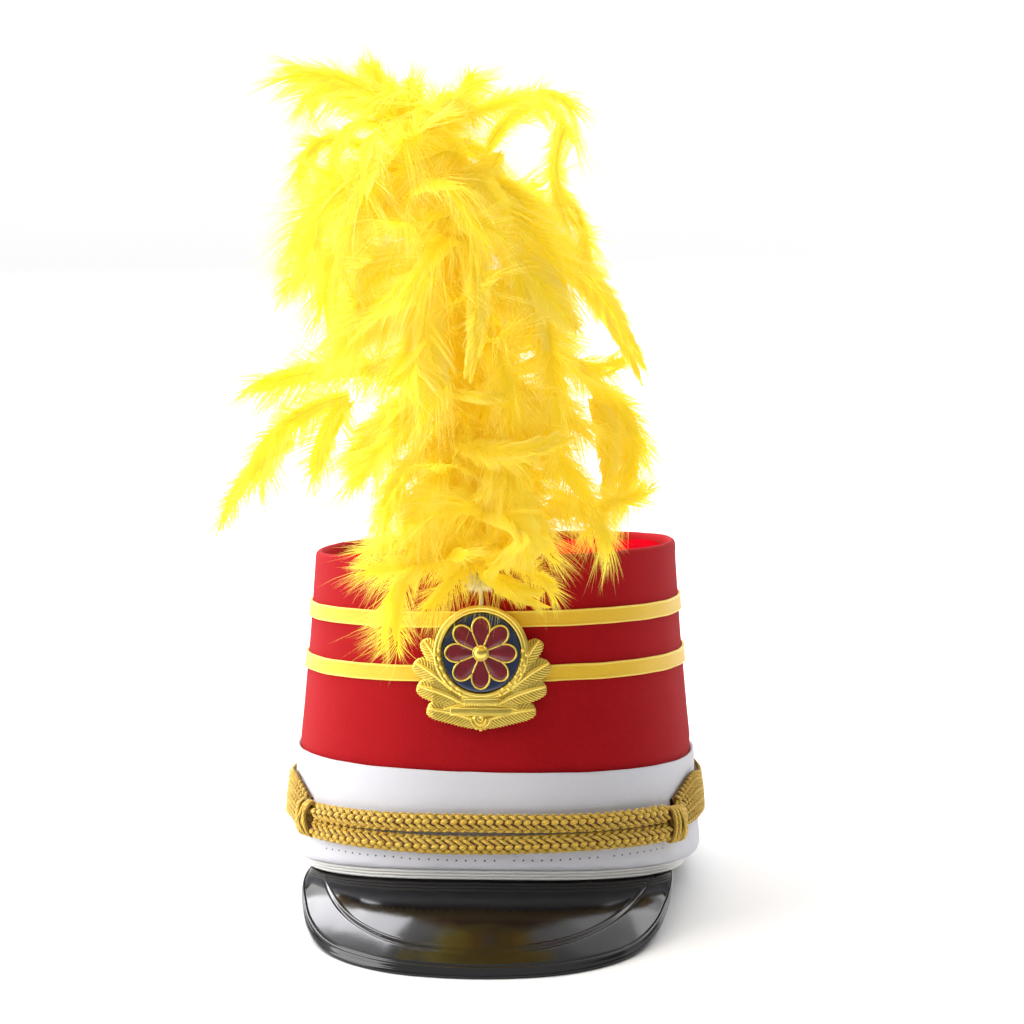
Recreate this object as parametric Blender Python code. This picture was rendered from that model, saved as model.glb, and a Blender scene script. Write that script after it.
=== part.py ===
"""Marching band hat: a tall cloth crown with a peak, plaited gold cords, a cast badge and a feather plume.

The hat is modelled upright, in millimetres, with its front towards -Y, its axis on Z, and z = 0 at the
mean height of its lower edge. It then leans back as it does on a table, where it stands on the peak's
front edge and on the back of its rim, and the whole is moved so that the origin is under its middle.
"""

import math

import bmesh
import bpy
from mathutils import Matrix, Vector

MM = 0.001
GAP = 0.35  # clearance between touching pieces
SEGMENTS = 46  # facets round the head

# Head oval
OVAL_POWER = 2.3  # 2 is an ellipse, more is squarer
DEPTH_EXTRA = 5.5  # how much longer the half depth is than the half width

# Crown: outer half width at each height of the cloth tube
WALL = 2.0
CROWN_ROWS = [
    # height, half_width
    (5.0, 87.6),
    (14.0, 89.8),
    (55.0, 90.2),
    (67.0, 88.9),
    (103.0, 85.6),
    (137.0, 83.3),
]
INNER_ROWS = (0, 1, 2, 5)  # rows of the table that the inside of the wall follows
TOP_HEIGHT = 143.4  # top of the rolled edge, in the middle
TOP_SLOPE = 2.4  # how much higher the top edge is at the right side, and lower at the left
ROLL_RADIUS = 2.6
ROLL_HALF_WIDTH = 82.9
ROLL_SHAPE = [
    # inward, up, in roll radii from the edge's top
    (0.0, -1.3),
    (0.35, -0.4),
    (0.9, 0.0),
    (1.3, -0.5),
]

# Top panel, sunk inside the rolled edge and crumpled at the right
PANEL_DEPTH = 5.2
PANEL_THICK = 1.6
CRUMPLE_HEIGHT = 3.6
CRUMPLE_STARTS = 16.0  # x where the satin begins to crumple
CRUMPLE_RUN = 45.0  # over this distance the folds come to their full height
CRUMPLE_WAVE = (0.115, 0.21)  # turns of the first set of folds along x and y, in radians per mm
CRUMPLE_CROSS = (-0.09, 0.16, 0.8)  # the same for the set across it, and its start
CRUMPLE_EDGE = 0.4  # share of the folds' height that is left at the panel's edge
PANEL_RINGS = 3

# Ribbons
RIBBON_THICK = 1.0
RIBBONS = [
    # name, bottom, top, side_slope
    ("ribbon_upper", 112.8, 119.8, 1.2),
    ("ribbon_lower", 89.2, 96.2, 0.9),
]

# White band over the lower crown, and the binding under it
BAND_THICK = 1.5
BAND_TOP = 50.3
BAND_TOP_SLOPE = -1.8
BAND_ROWS = [
    # height, half_width
    (36.0, 92.3),
    (16.0, 94.4),
    (9.5, 95.0),
    (6.6, 94.0),
]
BAND_FOLD_HALF_WIDTH = 91.4
BAND_INNER_ROWS = (0, 2, 4, 5)  # rows, from the fold up, that the inside of the band follows
RIM_SAG = 2.8  # the rim is this much higher at front and back, and lower at the sides
BINDING_HEIGHT = 4.5
BINDING_INNER = 85.2
BINDING_REST = -0.9  # the binding rests on the floor where the cosine of its angle is under this
BINDING_STEPS = [
    # height_above_edge, half_width
    (4.5, 90.4),
    (3.3, 90.2),
    (3.0, 89.4),
    (1.8, 89.2),
    (1.5, 88.5),
    (0.0, 88.1),
]

# Peak
VISOR_THICK = 2.2
VISOR_STATIONS = 26
VISOR_CROWN = 2.2  # how far the middle of the peak swells above a straight slope
VISOR_INSET = 1.6  # the seam lies this far inside the binding's outer edge
VISOR_BEAD = 1.0
VISOR_EDGE = [
    # seam_degrees, edge_x, edge_y, edge_z
    (0.0, 0.0, -142.0, -28.0),
    (14.0, 31.0, -138.0, -27.4),
    (27.0, 53.0, -127.0, -25.8),
    (38.0, 67.5, -112.0, -23.0),
    (47.0, 76.0, -95.5, -17.8),
    (55.0, 80.5, -79.0, -11.0),
    (62.0, 82.6, -64.0, -5.4),
]
VISOR_END_DEGREES = 66.0
VISOR_END_STEP = Vector((1.2, -1.2, -1.0))  # from the seam to the peak's edge at its ends
VISOR_FULL_SLOPE = 55.0  # where the peak is shorter than this, it swells less
VISOR_FULL_BEAD = 12.0  # the same for its bead
VISOR_ROWS = [
    # share_of_slope, raised
    (0.0, 0.0),
    (0.33, 0.0),
    (0.66, 0.0),
    (0.92, 0.0),
    (0.945, 1.0),
    (0.985, 1.0),
    (1.0, 0.0),
]
VISOR_UNDER_SHARES = (1.0, 0.5, 0.0)

# Plaited cords
CORD_HEIGHT = 8.6
CORD_DEPTH = 6.6
CORD_SIDES = 8
CORD_STEPS = 28
CORD_UPPER_HEIGHT = 30.0
CORD_LOWER_HEIGHT = 20.0
KNOTS = [
    # name, degrees_from_front, height
    ("knot_left", -49.5, 25.0),
    ("knot_right", 53.5, 23.0),
]
KNOT_SIZE = Vector((5.4, 4.3, 8.4))  # half sizes along the rim, outwards and up
KNOT_PULL = 0.5  # how far each cord turns towards the knot's middle
KNOT_PULL_SHARE = 0.12  # share of the cord's length over which it turns
CORD_RADIUS = 95.0  # mean distance of the cords from the hat's axis
FLAT_PLAIT_DEPTH = 5.2
FLAT_PLAIT_STEPS = 33
FLAT_PLAIT_SECTION = [
    # up, out, in shares of the half height and of the depth
    (-0.82, 0.7),
    (-0.3, 1.0),
    (0.3, 1.0),
    (0.82, 0.7),
    (1.0, 0.25),
    (0.9, 0.0),
    (-0.9, 0.0),
    (-1.0, 0.25),
]
FLAT_PLAIT_ROWS = [
    # degrees_past_knot, middle_height, height
    (0.0, 24.5, 15.5),
    (5.0, 28.5, 18.5),
    (13.0, 31.5, 21.5),
    (33.0, 31.5, 19.0),
    (120.0, 31.0, 20.0),
]

# Badge, in its own plane: u to the right, v up, w out of the crown
BADGE_HEIGHT = 102.0
BADGE_LEAN_DEGREES = 4.6
BADGE_STANDOFF = 2.2  # back of the plate from the crown's cloth
BADGE_WING_SLOPE = 0.3  # how the leaves beside the ring lean back to the cloth
PLATE_THICK = 1.0
RING_OUTER = 20.8
RING_INNER = 17.4
RING_THICK = 3.2
RING_SEGMENTS = 32
RING_PROFILE = [
    # radius, height over the plate's back
    (RING_INNER, PLATE_THICK),
    (RING_INNER + 0.2, RING_THICK - 0.5),
    (RING_INNER + 1.1, RING_THICK),
    (RING_OUTER - 0.9, RING_THICK),
    (RING_OUTER, RING_THICK - 0.9),
    (RING_OUTER, 0.0),
]
FIELD_THICK = 0.9
ROSETTE_PETALS = 8
ROSETTE_RADIUS = 15.9
ROSETTE_NOTCH = 9.6
ROSETTE_THICK = 1.2
PETAL_STEPS = 4
PETAL_ROUNDNESS = 0.6
BOSS_RADIUS = 3.6
BOSS_SIDES = 16
BOSS_ROWS = [
    # share of the radius, height
    (1.0, 0.0),
    (1.0, 0.5),
    (0.75, 1.3),
    (0.35, 1.7),
]
LEAVES = [
    # root_degrees, root_radius, tip_degrees, tip_radius, width
    (6.0, 29.0, 25.0, 35.6, 7.5),
    (14.0, 25.5, 44.0, 34.0, 9.5),
    (33.0, 21.0, 63.0, 31.4, 10.0),
    (52.0, 20.0, 82.0, 29.6, 9.6),
    (72.0, 19.4, 103.0, 25.8, 8.0),
]
LEAF_SHAPE = [
    # share of the length, share of the half width
    (0.0, 0.35),
    (0.3, 0.95),
    (0.6, 0.85),
    (0.85, 0.4),
]
LEAF_BACK = 0.15
LEAF_EDGE = 1.3
LEAF_RIDGE = 2.5
LEAF_RIB = (0.12, 0.8)  # shares of the length where the raised rib starts and ends
BAR = (26.4, 3.6, 0.1, 2.9)  # width, height, back and front of the plain bar
BAR_HEIGHT = -25.4
BLOCK = (14.8, 3.6, 0.05, 3.0)
BLOCK_HEIGHT = -20.9
CUSP_RADIUS = 3.4
CUSP_SIDES = 12
CUSP_TURN = 0.13
CUSP_SPAN = (0.2, 2.7)  # back and front
CUSP_HEIGHT = -31.0

# Plume
STEM_RADIUS = 0.9
STEM_TOP = 131.4
STEM_STEPS = 5
STEM_OUT = 3.6  # wire's foot from the crown's cloth
STEM_SIDES = 6
STEM_BOW = 2.2  # how far the wire bows back between its ends
BINDING_KNOB = Vector((4.6, 4.0, 3.7))  # half sizes of the white fluff where the feathers are tied
PLUME_OUT = 102.0  # distance of the plume's foot in front of the hat's axis
CORE_SIDES = 10
CORE_ROWS = [
    # height, x, y, half_width, half_depth
    (139.5, 0.0, -102.5, 5.0, 4.5),
    (150.0, -2.0, -104.5, 15.0, 10.0),
    (166.0, -4.0, -101.0, 24.0, 18.0),
    (192.0, -1.0, -97.0, 27.0, 22.0),
    (222.0, -5.0, -95.0, 27.0, 23.0),
    (252.0, -12.0, -94.0, 30.0, 24.0),
    (284.0, -18.0, -93.0, 31.0, 24.0),
    (314.0, -26.0, -93.0, 27.0, 22.0),
    (338.0, -34.0, -93.0, 18.0, 15.0),
    (350.0, -37.0, -93.0, 8.0, 7.0),
]
LOCK_SIDES = 5
LOCK_SHAPE = [
    # share_of_length, share_of_width
    (0.0, 0.6),
    (0.35, 1.0),
    (0.78, 0.7),
    (1.0, 0.16),
]
FEATHER_ARMS = [
    # root_x, root_y, root_z, middle_x, middle_y, middle_z, tip_x, tip_y, tip_z, width
    (-28.0, -93.0, 322.0, -62.0, -98.0, 347.0, -88.0, -104.0, 338.0, 24.0),
    (-59.0, -97.0, 345.0, -71.0, -103.0, 330.0, -78.0, -106.0, 301.0, 17.0),
    (-34.0, -92.0, 332.0, -42.0, -92.0, 350.0, -46.0, -90.0, 364.0, 24.0),
    (-22.0, -94.0, 322.0, -8.0, -98.0, 338.0, 2.0, -101.0, 347.0, 20.0),
    (0.0, -92.0, 312.0, 26.0, -98.0, 330.0, 46.0, -104.0, 330.0, 17.0),
    (32.0, -99.0, 332.0, 46.0, -106.0, 320.0, 48.0, -110.0, 296.0, 21.0),
    (2.0, -97.0, 312.0, 44.0, -107.0, 274.0, 73.0, -112.0, 219.0, 21.0),
    (20.0, -96.0, 234.0, 42.0, -98.0, 236.0, 63.0, -98.0, 227.0, 20.0),
    (24.0, -98.0, 218.0, 58.0, -104.0, 207.0, 62.0, -108.0, 160.0, 24.0),
    (14.0, -104.0, 170.0, 42.0, -112.0, 163.0, 73.0, -116.0, 168.0, 20.0),
    (-20.0, -94.0, 212.0, -62.0, -98.0, 230.0, -98.0, -104.0, 220.0, 28.0),
    (-55.0, -97.0, 228.0, -87.0, -106.0, 205.0, -109.0, -112.0, 160.0, 26.0),
    (-4.0, -112.0, 278.0, -2.0, -132.0, 262.0, -6.0, -136.0, 223.0, 20.0),
    (-8.0, -106.0, 162.0, -34.0, -116.0, 138.0, -37.0, -107.5, 105.0, 21.0),
    (-14.0, -106.0, 170.0, -44.0, -118.0, 154.0, -54.0, -116.0, 133.0, 20.0),
    (6.0, -108.0, 160.0, 26.0, -122.0, 148.0, 36.0, -114.0, 127.0, 20.0),
    (-12.0, -100.0, 186.0, -38.0, -104.0, 190.0, -57.0, -106.0, 181.0, 24.0),
]
CORE_TURN = 0.01  # each row of the core is turned by this much for each mm of its height
AROUND_DEPTH = 0.9  # the rows of locks are this much less deep than wide
AROUND_MIDDLE = 0.6  # share of the way out where a lock stands highest
AROUND_ROOT = 9.0  # the locks round the core start this far from its middle
AROUND_ROWS = [
    # height, locks, start_degrees, reach, rise, droop, width
    (180.0, 6, 20.0, 48.0, 2.0, 14.0, 26.0),
    (206.0, 6, 50.0, 50.0, 6.0, 28.0, 29.0),
    (238.0, 6, 10.0, 53.0, 8.0, 30.0, 31.0),
    (270.0, 6, 40.0, 56.0, 8.0, 30.0, 32.0),
    (302.0, 6, 15.0, 52.0, 12.0, 28.0, 30.0),
    (326.0, 4, 30.0, 38.0, 12.0, 20.0, 25.0),
]


def new_material(name, color, roughness, metallic=0.0):
    """A Principled material with one colour."""
    material = bpy.data.materials.new(name)
    material.use_nodes = True
    shader = material.node_tree.nodes["Principled BSDF"]
    shader.inputs["Base Color"].default_value = (*color, 1.0)
    shader.inputs["Roughness"].default_value = roughness
    shader.inputs["Metallic"].default_value = metallic
    return material


def add_object(name, bm, material, hat):
    """Turn a bmesh in millimetres into an object that hangs on the hat's empty."""
    bmesh.ops.scale(bm, vec=(MM, MM, MM), verts=bm.verts)
    bmesh.ops.recalc_face_normals(bm, faces=bm.faces)
    mesh = bpy.data.meshes.new(name)
    bm.to_mesh(mesh)
    bm.free()
    mesh.shade_smooth()
    mesh.set_sharp_from_angle(angle=math.radians(35))
    obj = bpy.data.objects.new(name, mesh)
    obj.data.materials.append(material)
    obj.parent = hat
    bpy.context.collection.objects.link(obj)
    return obj


def read_rows(rows, key, column=1):
    """Straight-line reading of a table's column at a value of its first column."""
    ordered = sorted(rows)
    if key <= ordered[0][0]:
        return ordered[0][column]
    for low, high in zip(ordered, ordered[1:]):
        if key <= high[0]:
            share = (key - low[0]) / (high[0] - low[0])
            return low[column] + share * (high[column] - low[column])
    return ordered[-1][column]


def smooth_rows(rows, key, column):
    """The same on a smooth curve through the table's rows (Catmull-Rom)."""
    index = max(i for i, row in enumerate(rows[:-1]) if row[0] <= key or i == 0)
    share = (key - rows[index][0]) / (rows[index + 1][0] - rows[index][0])
    before = rows[max(index - 1, 0)][column]
    start = rows[index][column]
    end = rows[index + 1][column]
    after = rows[min(index + 2, len(rows) - 1)][column]
    slope_in = (end - before) / 2
    slope_out = (after - start) / 2
    s2 = share * share
    s3 = s2 * share
    return (
        start * (2 * s3 - 3 * s2 + 1)
        + slope_in * (s3 - 2 * s2 + share)
        + end * (3 * s2 - 2 * s3)
        + slope_out * (s3 - s2)
    )


def oval(angle, half_width, height=0.0):
    """Point of the head's oval, at an angle from the front towards +X."""
    half_depth = half_width + DEPTH_EXTRA
    across = abs(math.sin(angle)) / half_width
    along = abs(math.cos(angle)) / half_depth
    radius = (across**OVAL_POWER + along**OVAL_POWER) ** (-1 / OVAL_POWER)
    return Vector((radius * math.sin(angle), -radius * math.cos(angle), height))


def oval_outward(angle, half_width):
    """Level unit vector square to the oval at that angle."""
    step = 0.01
    along = oval(angle + step, half_width) - oval(angle - step, half_width)
    return along.cross(Vector((0, 0, 1))).normalized()


def side_share(angle):
    """-1 at the left side, 1 at the right side, 0 at the front and the back."""
    return math.sin(angle)


def crown_half_width(height):
    return read_rows(CROWN_ROWS, height)


def rim_height(angle):
    """Height of the lower edge: it is up at front and back and down at the sides."""
    return RIM_SAG * math.cos(2 * angle)


def band_half_width(height):
    """Outer half width of the white band, or of the bare crown above it."""
    rows = BAND_ROWS + [(BAND_TOP, crown_half_width(BAND_TOP) + GAP + BAND_THICK)]
    return read_rows(rows, height)


def ring_angles():
    return [2 * math.pi * i / SEGMENTS for i in range(SEGMENTS)]


def sweep_ring(profile_at):
    """Closed ring whose section at each angle is a closed list of points."""
    bm = bmesh.new()
    rings = [[bm.verts.new(point) for point in profile_at(angle)] for angle in ring_angles()]
    for here, there in zip(rings, rings[1:] + rings[:1]):
        for i in range(len(here)):
            j = (i + 1) % len(here)
            bm.faces.new((here[i], here[j], there[j], there[i]))
    return bm


def sweep_sections(sections):
    """Closed body through a list of closed sections, with flat ends."""
    bm = bmesh.new()
    loops = [[bm.verts.new(point) for point in section] for section in sections]
    for here, there in zip(loops, loops[1:]):
        for i in range(len(here)):
            j = (i + 1) % len(here)
            bm.faces.new((here[i], here[j], there[j], there[i]))
    bm.faces.new(loops[0])
    bm.faces.new(reversed(loops[-1]))
    return bm


def make_crown(material, hat):
    """Cloth tube with a rolled top edge, open below."""

    def profile(angle):
        lift = TOP_SLOPE * side_share(angle)
        lower = rim_height(angle) + BINDING_HEIGHT + GAP
        outer = [(lower, crown_half_width(lower))]
        outer += CROWN_ROWS[1:]
        top = TOP_HEIGHT + lift
        roll = [(top + up * ROLL_RADIUS, ROLL_HALF_WIDTH - inward * ROLL_RADIUS) for inward, up in ROLL_SHAPE]
        inner = [(outer[row][0], outer[row][1] - WALL) for row in reversed(INNER_ROWS)]
        return [oval(angle, width, height) for height, width in outer + roll + inner]

    return add_object("crown", sweep_ring(profile), material, hat)


def make_crown_top(material, hat):
    """Sunk top panel; towards the right side the satin stands up in crumples."""
    bm = bmesh.new()
    edge = ROLL_HALF_WIDTH - ROLL_SHAPE[-1][0] * ROLL_RADIUS - GAP

    def crumple(x, y):
        rise = min(max((x - CRUMPLE_STARTS) / CRUMPLE_RUN, 0.0), 1.0)
        first = math.sin(CRUMPLE_WAVE[0] * x + CRUMPLE_WAVE[1] * y)
        second = math.cos(CRUMPLE_CROSS[0] * x + CRUMPLE_CROSS[1] * y + CRUMPLE_CROSS[2])
        return CRUMPLE_HEIGHT * rise * (0.5 + 0.5 * first * second)

    def panel_point(angle, share, thickness):
        point = oval(angle, edge) * share
        swell = crumple(point.x, point.y)
        if share == 1.0:
            swell *= CRUMPLE_EDGE
        if thickness and share < 1.0:
            swell = 0.0
        point.z = TOP_HEIGHT - PANEL_DEPTH + TOP_SLOPE * side_share(angle) * share + swell - thickness
        return bm.verts.new(point)

    shares = [ring / PANEL_RINGS for ring in range(1, PANEL_RINGS + 1)]
    upper = [[panel_point(angle, share, 0.0) for angle in ring_angles()] for share in shares]
    under = [[panel_point(angle, 1.0, PANEL_THICK) for angle in ring_angles()]]
    upper_middle = panel_point(0.0, 0.0, 0.0)
    under_middle = panel_point(0.0, 0.0, PANEL_THICK)
    for rings, middle in ((upper, upper_middle), (under, under_middle)):
        for i in range(SEGMENTS):
            j = (i + 1) % SEGMENTS
            bm.faces.new((middle, rings[0][i], rings[0][j]))
            for inside, outside in zip(rings, rings[1:]):
                bm.faces.new((inside[i], outside[i], outside[j], inside[j]))
    for i in range(SEGMENTS):
        j = (i + 1) % SEGMENTS
        bm.faces.new((upper[-1][i], under[-1][i], under[-1][j], upper[-1][j]))
    return add_object("crown_top", bm, material, hat)


def make_ribbon(name, bottom, top, side_slope, material, hat):
    """Flat ribbon sewn round the crown."""

    def profile(angle):
        lift = side_slope * side_share(angle)
        low, high = bottom + lift, top + lift
        points = [
            (low, crown_half_width(low) + GAP + RIBBON_THICK),
            (high, crown_half_width(high) + GAP + RIBBON_THICK),
            (high, crown_half_width(high) + GAP),
            (low, crown_half_width(low) + GAP),
        ]
        return [oval(angle, width, height) for height, width in points]

    return add_object(name, sweep_ring(profile), material, hat)


def make_white_band(material, hat):
    """White cloth band that swells over its hem and is turned under at the bottom."""

    def profile(angle):
        top = BAND_TOP + BAND_TOP_SLOPE * side_share(angle)
        bottom = rim_height(angle) + BINDING_HEIGHT + GAP
        outer = [(bottom, BAND_FOLD_HALF_WIDTH)]
        outer += [(height + rim_height(angle) * 0.5, width) for height, width in reversed(BAND_ROWS)]
        outer.append((top, crown_half_width(top) + GAP + BAND_THICK))
        inner = [
            (outer[row][0], max(outer[row][1] - BAND_THICK, crown_half_width(outer[row][0]) + GAP))
            for row in reversed(BAND_INNER_ROWS)
        ]
        return [oval(angle, width, height) for height, width in outer + inner]

    return add_object("white_band", sweep_ring(profile), material, hat)


def make_rim_binding(floor_height, material, hat):
    """Layered vinyl piping under the band. Where it rests, its under side is flat on the floor."""

    def profile(angle):
        edge = rim_height(angle)
        points = []
        for above, width in BINDING_STEPS + [(0.0, BINDING_INNER), (BINDING_HEIGHT, BINDING_INNER)]:
            point = oval(angle, width, edge + above)
            if above == 0.0 and math.cos(angle) < BINDING_REST:
                point.z = floor_height(point.y)
            points.append(point)
        return points

    return add_object("rim_binding", sweep_ring(profile), material, hat)


def visor_seam(degrees):
    """Point where the peak's upper face meets the binding's under side."""
    angle = math.radians(degrees)
    half_width = BINDING_STEPS[-1][1] - VISOR_INSET
    return oval(angle, half_width, rim_height(angle) - GAP)


def visor_edge(degrees):
    """Point of the peak's outer edge for a seam angle, mirrored about the middle."""
    end = visor_seam(VISOR_END_DEGREES) + VISOR_END_STEP
    rows = [(-row[0], -row[1], row[2], row[3]) for row in VISOR_EDGE[:0:-1]] + list(VISOR_EDGE)
    rows = [(-VISOR_END_DEGREES, -end.x, end.y, end.z)] + rows + [(VISOR_END_DEGREES, *end)]
    return Vector([smooth_rows(rows, degrees, column) for column in (1, 2, 3)])


def visor_point(degrees, share, raised):
    seam, edge = visor_seam(degrees), visor_edge(degrees)
    point = seam.lerp(edge, share)
    slope_length = (edge - seam).length
    swell = VISOR_CROWN * min(slope_length / VISOR_FULL_SLOPE, 1.0) * 4 * share * (1 - share)
    point.z += swell + raised * VISOR_BEAD * min(slope_length / VISOR_FULL_BEAD, 1.0)
    return point


def make_visor(material, hat):
    """Moulded plastic peak with a raised bead along its edge."""
    bm = bmesh.new()
    columns = []
    for i in range(VISOR_STATIONS + 1):
        degrees = VISOR_END_DEGREES * (2 * i / VISOR_STATIONS - 1)
        points = [visor_point(degrees, share, raised) for share, raised in VISOR_ROWS]
        for share in VISOR_UNDER_SHARES:
            points.append(visor_point(degrees, share, 0.0) - Vector((0, 0, VISOR_THICK)))
        columns.append([bm.verts.new(point) for point in points])
    for here, there in zip(columns, columns[1:]):
        for j in range(len(here)):
            k = (j + 1) % len(here)
            bm.faces.new((here[j], here[k], there[k], there[j]))
    bm.faces.new(columns[0])
    bm.faces.new(columns[-1])
    return add_object("visor", bm, material, hat)


def on_band(degrees, height, outward):
    """Point at a distance outside the white band."""
    angle = math.radians(degrees)
    half_width = band_half_width(height)
    return oval(angle, half_width, height) + outward * oval_outward(angle, half_width)


def round_section(middle, outward, half_height, half_depth, sides):
    """Ring of points round a cord that runs level along the band."""
    up = Vector((0, 0, 1))
    turn = 2 * math.pi / sides
    return [
        middle
        + half_height * math.cos(turn * (k + 0.5)) * up
        + half_depth * math.sin(turn * (k + 0.5)) * outward
        for k in range(sides)
    ]


def knot_middle(name):
    degrees, height = next(row[1:] for row in KNOTS if row[0] == name)
    return degrees, height, on_band(degrees, height, KNOT_SIZE.y + GAP)


def make_front_cord(name, height, pull, material, hat):
    """One plaited cord over the peak, from knot to knot."""
    left, right = KNOTS[0][1], KNOTS[1][1]
    spare = math.degrees((KNOT_SIZE.x + 2 * GAP) / CORD_RADIUS)
    sections = []
    for i in range(CORD_STEPS + 1):
        share = i / CORD_STEPS
        degrees = left + spare + share * (right - left - 2 * spare)
        near_end = max(0.0, 1.0 - min(share, 1 - share) / KNOT_PULL_SHARE)
        level = height + pull * near_end**2
        angle = math.radians(degrees)
        middle = on_band(degrees, level, CORD_DEPTH / 2 + GAP)
        outward = oval_outward(angle, band_half_width(level))
        sections.append(round_section(middle, outward, CORD_HEIGHT / 2, CORD_DEPTH / 2, CORD_SIDES))
    return add_object(name, sweep_sections(sections), material, hat)


def make_knot(name, material, hat):
    """Wrapped knot where the two cords come together."""
    degrees, _, middle = knot_middle(name)
    outward = oval_outward(math.radians(degrees), CORD_RADIUS)
    along = Vector((0, 0, 1)).cross(outward)
    bm = bmesh.new()
    bmesh.ops.create_uvsphere(bm, u_segments=12, v_segments=8, radius=1.0)
    for vert in bm.verts:
        x, y, z = vert.co
        vert.co = (
            middle + along * (x * KNOT_SIZE.x) + outward * (y * KNOT_SIZE.y) + Vector((0, 0, z * KNOT_SIZE.z))
        )
    return add_object(name, bm, material, hat)


def make_flat_plait(material, hat):
    """The broad flat plait that goes on from the knots and round the back."""
    left, right = KNOTS[0][1], KNOTS[1][1]
    spare = math.degrees((KNOT_SIZE.x + 1.5 * GAP) / CORD_RADIUS)
    start, end = right + spare, 360 + left - spare
    sections = []
    for i in range(FLAT_PLAIT_STEPS + 1):
        degrees = start + (end - start) * i / FLAT_PLAIT_STEPS
        past = min(degrees - start, end - degrees)
        middle = read_rows(FLAT_PLAIT_ROWS, past, 1)
        half = read_rows(FLAT_PLAIT_ROWS, past, 2) / 2
        section = []
        for up, out in FLAT_PLAIT_SECTION:
            section.append(on_band(degrees, middle + up * half, GAP + out * FLAT_PLAIT_DEPTH))
        sections.append(section)
    return add_object("braid_back", sweep_sections(sections), material, hat)


def badge_matrix():
    """Where the badge's own plane lies on the crown's front."""
    front = -(crown_half_width(BADGE_HEIGHT) + DEPTH_EXTRA + BADGE_STANDOFF)
    lean = math.radians(90 - BADGE_LEAN_DEGREES)
    return Matrix.Translation((0, front, BADGE_HEIGHT)) @ Matrix.Rotation(lean, 4, "X")


def place_badge(bm):
    """Lean the parts beside the ring back to the cloth, and move the whole to its place."""
    for vert in bm.verts:
        vert.co.z -= BADGE_WING_SLOPE * max(0.0, abs(vert.co.x) - RING_OUTER)
    bm.transform(badge_matrix())


def prism(outline, low, high):
    """Flat plate with the given outline, from w = low to w = high."""
    bm = bmesh.new()
    base = [bm.verts.new((x, y, low)) for x, y in outline]
    lid = [bm.verts.new((x, y, high)) for x, y in outline]
    bm.faces.new(reversed(base))
    bm.faces.new(lid)
    for i in range(len(base)):
        j = (i + 1) % len(base)
        bm.faces.new((base[i], base[j], lid[j], lid[i]))
    return bm


def circle_points(radius, count, turn=0.0):
    step = 2 * math.pi / count
    return [(radius * math.cos(turn + step * i), radius * math.sin(turn + step * i)) for i in range(count)]


def rectangle_points(width, height, middle_height):
    return [
        (-width / 2, middle_height - height / 2),
        (width / 2, middle_height - height / 2),
        (width / 2, middle_height + height / 2),
        (-width / 2, middle_height + height / 2),
    ]


def ring_body():
    """Dished disc: a thin plate with a raised round rim."""
    bm = bmesh.new()
    step = 2 * math.pi / RING_SEGMENTS
    spokes = []
    for i in range(RING_SEGMENTS):
        cosine, sine = math.cos(step * i), math.sin(step * i)
        spokes.append([bm.verts.new((r * cosine, r * sine, w)) for r, w in RING_PROFILE])
    for here, there in zip(spokes, spokes[1:] + spokes[:1]):
        for j in range(len(RING_PROFILE) - 1):
            bm.faces.new((here[j], here[j + 1], there[j + 1], there[j]))
    bm.faces.new([spoke[0] for spoke in spokes])
    bm.faces.new([spoke[-1] for spoke in spokes])
    bmesh.ops.recalc_face_normals(bm, faces=bm.faces)
    return bm


def polar(degrees_from_down, radius, side):
    angle = math.radians(degrees_from_down)
    return Vector((side * radius * math.sin(angle), -radius * math.cos(angle), 0))


def leaf_body(root, tip, width):
    """Pointed leaf with a raised midrib."""
    along = tip - root
    across = Vector((-along.y, along.x, 0)).normalized() * (width / 2)
    outline = [root + along * share + across * half for share, half in LEAF_SHAPE]
    outline += [tip]
    outline += [root + along * share - across * half for share, half in reversed(LEAF_SHAPE)]
    bm = bmesh.new()
    base = [bm.verts.new((p.x, p.y, LEAF_BACK)) for p in outline]
    lid = [bm.verts.new((p.x, p.y, LEAF_EDGE)) for p in outline]
    rib_root = root + along * LEAF_RIB[0]
    rib_tip = root + along * LEAF_RIB[1]
    rib = [bm.verts.new((p.x, p.y, LEAF_RIDGE)) for p in (rib_root, rib_tip)]
    bm.faces.new(reversed(base))
    count = len(outline)
    for i in range(count):
        j = (i + 1) % count
        bm.faces.new((base[i], base[j], lid[j], lid[i]))
    bm.faces.new((lid[0], rib[0], lid[-1]))
    bm.faces.new((lid[0], lid[1], lid[2], rib[1], rib[0]))
    bm.faces.new((lid[2], lid[3], rib[1]))
    bm.faces.new((lid[3], lid[4], rib[1]))
    bm.faces.new((lid[4], lid[5], rib[1]))
    bm.faces.new((lid[5], lid[6], rib[1]))
    bm.faces.new((lid[6], lid[7], lid[8], rib[0], rib[1]))
    bmesh.ops.triangulate(bm, faces=bm.faces)
    bmesh.ops.recalc_face_normals(bm, faces=bm.faces)
    return bm


def fuse(body, parts, collection_name):
    """Union a body with a collection of hidden pieces, which stay as guides."""
    guides = bpy.data.collections.new(collection_name)
    bpy.context.scene.collection.children.link(guides)
    for obj in parts:
        bpy.context.collection.objects.unlink(obj)
        guides.objects.link(obj)
        obj.hide_render = True
        obj.display_type = "WIRE"
    modifier = body.modifiers.new("fuse", "BOOLEAN")
    modifier.operation = "UNION"
    modifier.operand_type = "COLLECTION"
    modifier.collection = guides
    modifier.solver = "EXACT"


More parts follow.
